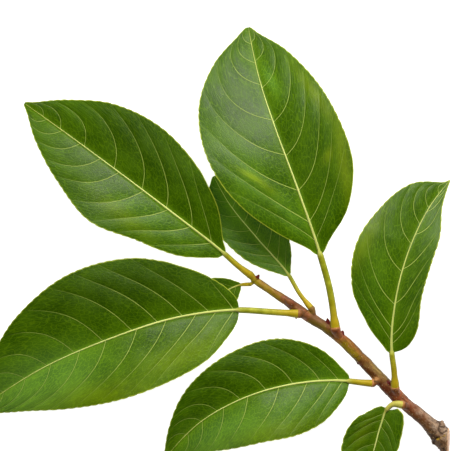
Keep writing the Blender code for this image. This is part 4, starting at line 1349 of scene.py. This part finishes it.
def bark_material():
    """The twig's skin, which reads from the mesh where on the twig each point is and what it covers."""
    made, tree, shader = new_material("bark")
    place = node(tree, "ShaderNodeTexCoord").outputs["Object"]
    run_share = attribute(tree, "run")
    clouds = noise_of(tree, place, 260.0, 4.0, 0.6)
    shifted = plus(tree, run_share, soft_step(tree, clouds, 0.2, 0.8, -0.03, 0.03))
    sides = []
    for side in (1, 2):
        ramp = node(tree, "ShaderNodeValToRGB", {"Fac": shifted})
        stops = ramp.color_ramp.elements
        while len(stops) > 1:
            stops.remove(stops[-1])
        stops[0].position, stops[0].color = BARK_COLOURS[0][0], linear(*BARK_COLOURS[0][side])
        for stop in BARK_COLOURS[1:]:
            stops.new(stop[0]).color = linear(*stop[side])
        sides.append(ramp.outputs[0])
    # The side of the twig picks the ramp: partly the bark's own colour, partly painted light and painted shade
    facing = plus(tree, attribute(tree, "turn_x"), soft_step(tree, clouds, 0.2, 0.8, -0.5, 0.5))
    skin = mixed(tree, soft_step(tree, facing, -0.45, 0.75), *sides)

    turned = node(
        tree, "ShaderNodeCombineXYZ",
        {"X": attribute(tree, "turn_x"), "Y": attribute(tree, "turn_y"), "Z": times(tree, run_share, 9.0)},
    ).outputs[0]
    streaks = noise_of(tree, turned, 5.0, 5.0, 0.62)
    specks = noise_of(tree, place, 1400.0, 4.0, 0.7)
    age = soft_step(tree, run_share, 0.2, 0.8, 0.35, 0.7)
    ground = mixed(tree, times(tree, soft_step(tree, streaks, 0.45, 0.72), age), skin, STREAK_BROWN)
    # Pale streaks along the grain, partly the bark's own and partly a painted highlight
    ground = mixed(tree, soft_step(tree, streaks, 0.25, 0.44, 0.5, 0.0), ground, STRAW_HIGHLIGHT)
    ground = mixed(tree, times(tree, soft_step(tree, specks, 0.5, 0.75), age), ground, SPECK_BROWN)

    # What grows on the twig, painted light at the cushions' feet, and painted shade in the hollows of its
    # relief
    # Painted light: a brighter brown at the cushions' feet, where the petioles cast their shadow
    ground = mixed(tree, soft_step(tree, attribute(tree, "foot"), 0.4, 1.0, 0.0, 0.6), ground, FOOT_LIGHT_BROWN)
    ground = mixed(tree, times(tree, attribute(tree, "olive"), 0.85), ground, CUSHION_OLIVE)
    ground = mixed(tree, attribute(tree, "collar"), ground, COLLAR_CREAM)
    ground = mixed(tree, times(tree, attribute(tree, "scar"), 0.5), ground, SCAR_BROWN)
    ground = mixed(tree, soft_step(tree, attribute(tree, "scale"), 0.3, 0.7, 0.0, 0.65), ground, SCALE_RED)
    ground = mixed(tree, soft_step(tree, attribute(tree, "bud"), 0.35, 0.8), ground, BUD_RED)
    ground = mixed(tree, times(tree, attribute(tree, "streak"), 0.9), ground, STREAK_YELLOW)
    # Painted shade in the hollows and cracks
    ground = mixed(tree, times(tree, attribute(tree, "hollow"), 0.72), ground, HOLLOW_SHADE_BROWN)

    # Painted shade on the twig's steep sides, and the wood of the cut with its rings
    turn = times(tree, attribute(tree, "cut_run"), RING_TURN)
    rings = node(tree, "ShaderNodeMath", {0: turn}, operation="SINE").outputs[0]
    wood = mixed(tree, soft_step(tree, plus(tree, rings, specks), 0.2, 1.4), CUT_WOOD, CUT_HEART)
    ground = mixed(tree, times(tree, side_shade(tree, 0.75), attribute(tree, "open")), ground, SIDE_SHADE_BROWN)
    ground = mixed(tree, soft_step(tree, attribute(tree, "cut"), 0.35, 0.75), ground, wood)
    tree.links.new(ground, shader.inputs["Base Color"])
    tree.links.new(soft_step(tree, specks, 0.3, 0.7, 0.36, 0.5), shader.inputs["Roughness"])
    shader.inputs["Specular IOR Level"].default_value = 0.16
    height = plus(tree, times(tree, streaks, 1.0), times(tree, specks, 0.5))
    bump = node(tree, "ShaderNodeBump", {"Height": height, "Strength": 0.6, "Distance": 0.0002})
    tree.links.new(bump.outputs[0], shader.inputs["Normal"])
    return made


bark = bark_material()
for label, values in {
    "run": run / TWIG_RUN[-1], "turn_x": np.cos(around), "turn_y": np.sin(around), "bud": bud_share,
    "scar": scar_share, "scale": scale_share, "olive": olive_share, "collar": collar_share,
    "hollow": hollow_shade_share, "streak": streak_share, "cut": cut_share, "open": 1 - foot_share,
    "foot": foot_light_share, "cut_run": np.linalg.norm(off_axis, axis=1),
}.items():
    store(skin_mesh, label, values)
skin_mesh.shade_smooth()
skin_mesh.materials.clear()
skin_mesh.materials.append(bark)
skin_mesh.name = "twig_bark"
twig_bark = bpy.data.objects.new("twig_bark", skin_mesh)
SCENE.collection.objects.link(twig_bark)
print("bark material:", len(bark.node_tree.nodes), "nodes")

# %% [markdown]
# Lenticels
#
# Bark breathes through lenticels, small pale corky dots. There are hundreds, each the same low mound, so they
# are a job for Geometry Nodes: points are spread over the bark at least a set distance apart, and a flattened
# ball is put on each, turned to the surface and stretched at random.

# %% Scatter the lenticels over the bark


def lenticel_tree():
    """Geometry Nodes: small flattened balls spread over a surface."""
    tree = bpy.data.node_groups.new("lenticels", "GeometryNodeTree")
    interface = tree.interface
    interface.new_socket("Bark", in_out="INPUT", socket_type="NodeSocketGeometry")
    for label, kind, value in (
        ("Spacing", "NodeSocketFloat", 0.0014),
        ("Radius", "NodeSocketFloat", 0.0002),
        ("Seed", "NodeSocketInt", 5),
    ):
        interface.new_socket(label, in_out="INPUT", socket_type=kind).default_value = value
    interface.new_socket("Surface", in_out="INPUT", socket_type="NodeSocketMaterial")
    interface.new_socket("Lenticels", in_out="OUTPUT", socket_type="NodeSocketGeometry")
    given = node(tree, "NodeGroupInput")
    plain_bark = node(tree, "GeometryNodeInputNamedAttribute", {"Name": "plain"}, data_type="FLOAT")
    spread = node(
        tree, "GeometryNodeDistributePointsOnFaces",
        {"Mesh": given.outputs["Bark"], "Distance Min": given.outputs["Spacing"], "Density Max": 400000.0,
         "Density Factor": plain_bark.outputs[0], "Seed": given.outputs["Seed"]},
        distribute_method="POISSON",
    )
    ball = node(
        tree, "GeometryNodeMeshUVSphere", {"Segments": 8, "Rings": 5, "Radius": given.outputs["Radius"]}
    )
    size = node(
        tree, "FunctionNodeRandomValue",
        {0: (0.7, 0.7, 0.25), 1: (1.2, 1.9, 0.4), "Seed": given.outputs["Seed"]},
        data_type="FLOAT_VECTOR",
    )
    placed = node(
        tree, "GeometryNodeInstanceOnPoints",
        {"Points": spread.outputs["Points"], "Instance": ball.outputs["Mesh"],
         "Rotation": spread.outputs["Rotation"], "Scale": size.outputs[0]},
    )
    smooth = node(tree, "GeometryNodeSetShadeSmooth", {"Geometry": placed.outputs[0]})
    real = node(tree, "GeometryNodeRealizeInstances", {"Geometry": smooth.outputs[0]})
    painted = node(
        tree, "GeometryNodeSetMaterial", {"Geometry": real.outputs[0], "Material": given.outputs["Surface"]}
    )
    node(tree, "NodeGroupOutput", {0: painted.outputs[0]})
    return tree


CORK_BROWN = linear(150, 124, 86)
CORK_PALE = linear(196, 174, 132)
# Millimetres along the twig where lenticels start to grow dense, over how many, and their least density
DENSE_FROM = 34
DENSE_LENGTH = 30
LEAST_DENSITY = 0.12

cork, tree, shader = new_material("cork")
cork_clouds = noise_of(tree, node(tree, "ShaderNodeTexCoord").outputs["Object"], 500.0)
cork_colour = mixed(tree, soft_step(tree, cork_clouds, 0.35, 0.7), CORK_BROWN, CORK_PALE)
tree.links.new(cork_colour, shader.inputs["Base Color"])
shader.inputs["Roughness"].default_value = 0.8

plain = (1 - bud_share) * (1 - np.maximum(olive_share, collar_share)) * (1 - scar_share) * (1 - cut_share)
plain *= np.clip((run - DENSE_FROM) / DENSE_LENGTH, LEAST_DENSITY, 1)
store(skin_mesh, "plain", plain)
bark_copy = bpy.data.objects.new("bark_copy", skin_mesh.copy())
SCENE.collection.objects.link(bark_copy)
lenticels = finished(
    bark_copy, lenticel_tree(), "twig_lenticels",
    Spacing=0.0016, Radius=0.00019, Seed=11, Surface=cork,
)
print("lenticels:", len(lenticels.data.polygons), "faces")

# %% [markdown]
# Every piece now takes its solid's place, and the solid is hidden.

# %% Put the pieces in their solids' places
for letter in LEAVES:
    for piece, solid, finish in (
        (blades[letter], "blade", "leaf_blade"), (stalks[letter], "stalk", "leaf_stalk"),
        (vein_ribs[letter], "blade", "leaf_stalk"),
    ):
        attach(piece, "root")
        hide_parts(f"leaf_{letter}_{solid}")
for piece in (twig_bark, lenticels):
    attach(piece, "root")
    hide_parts("twig")
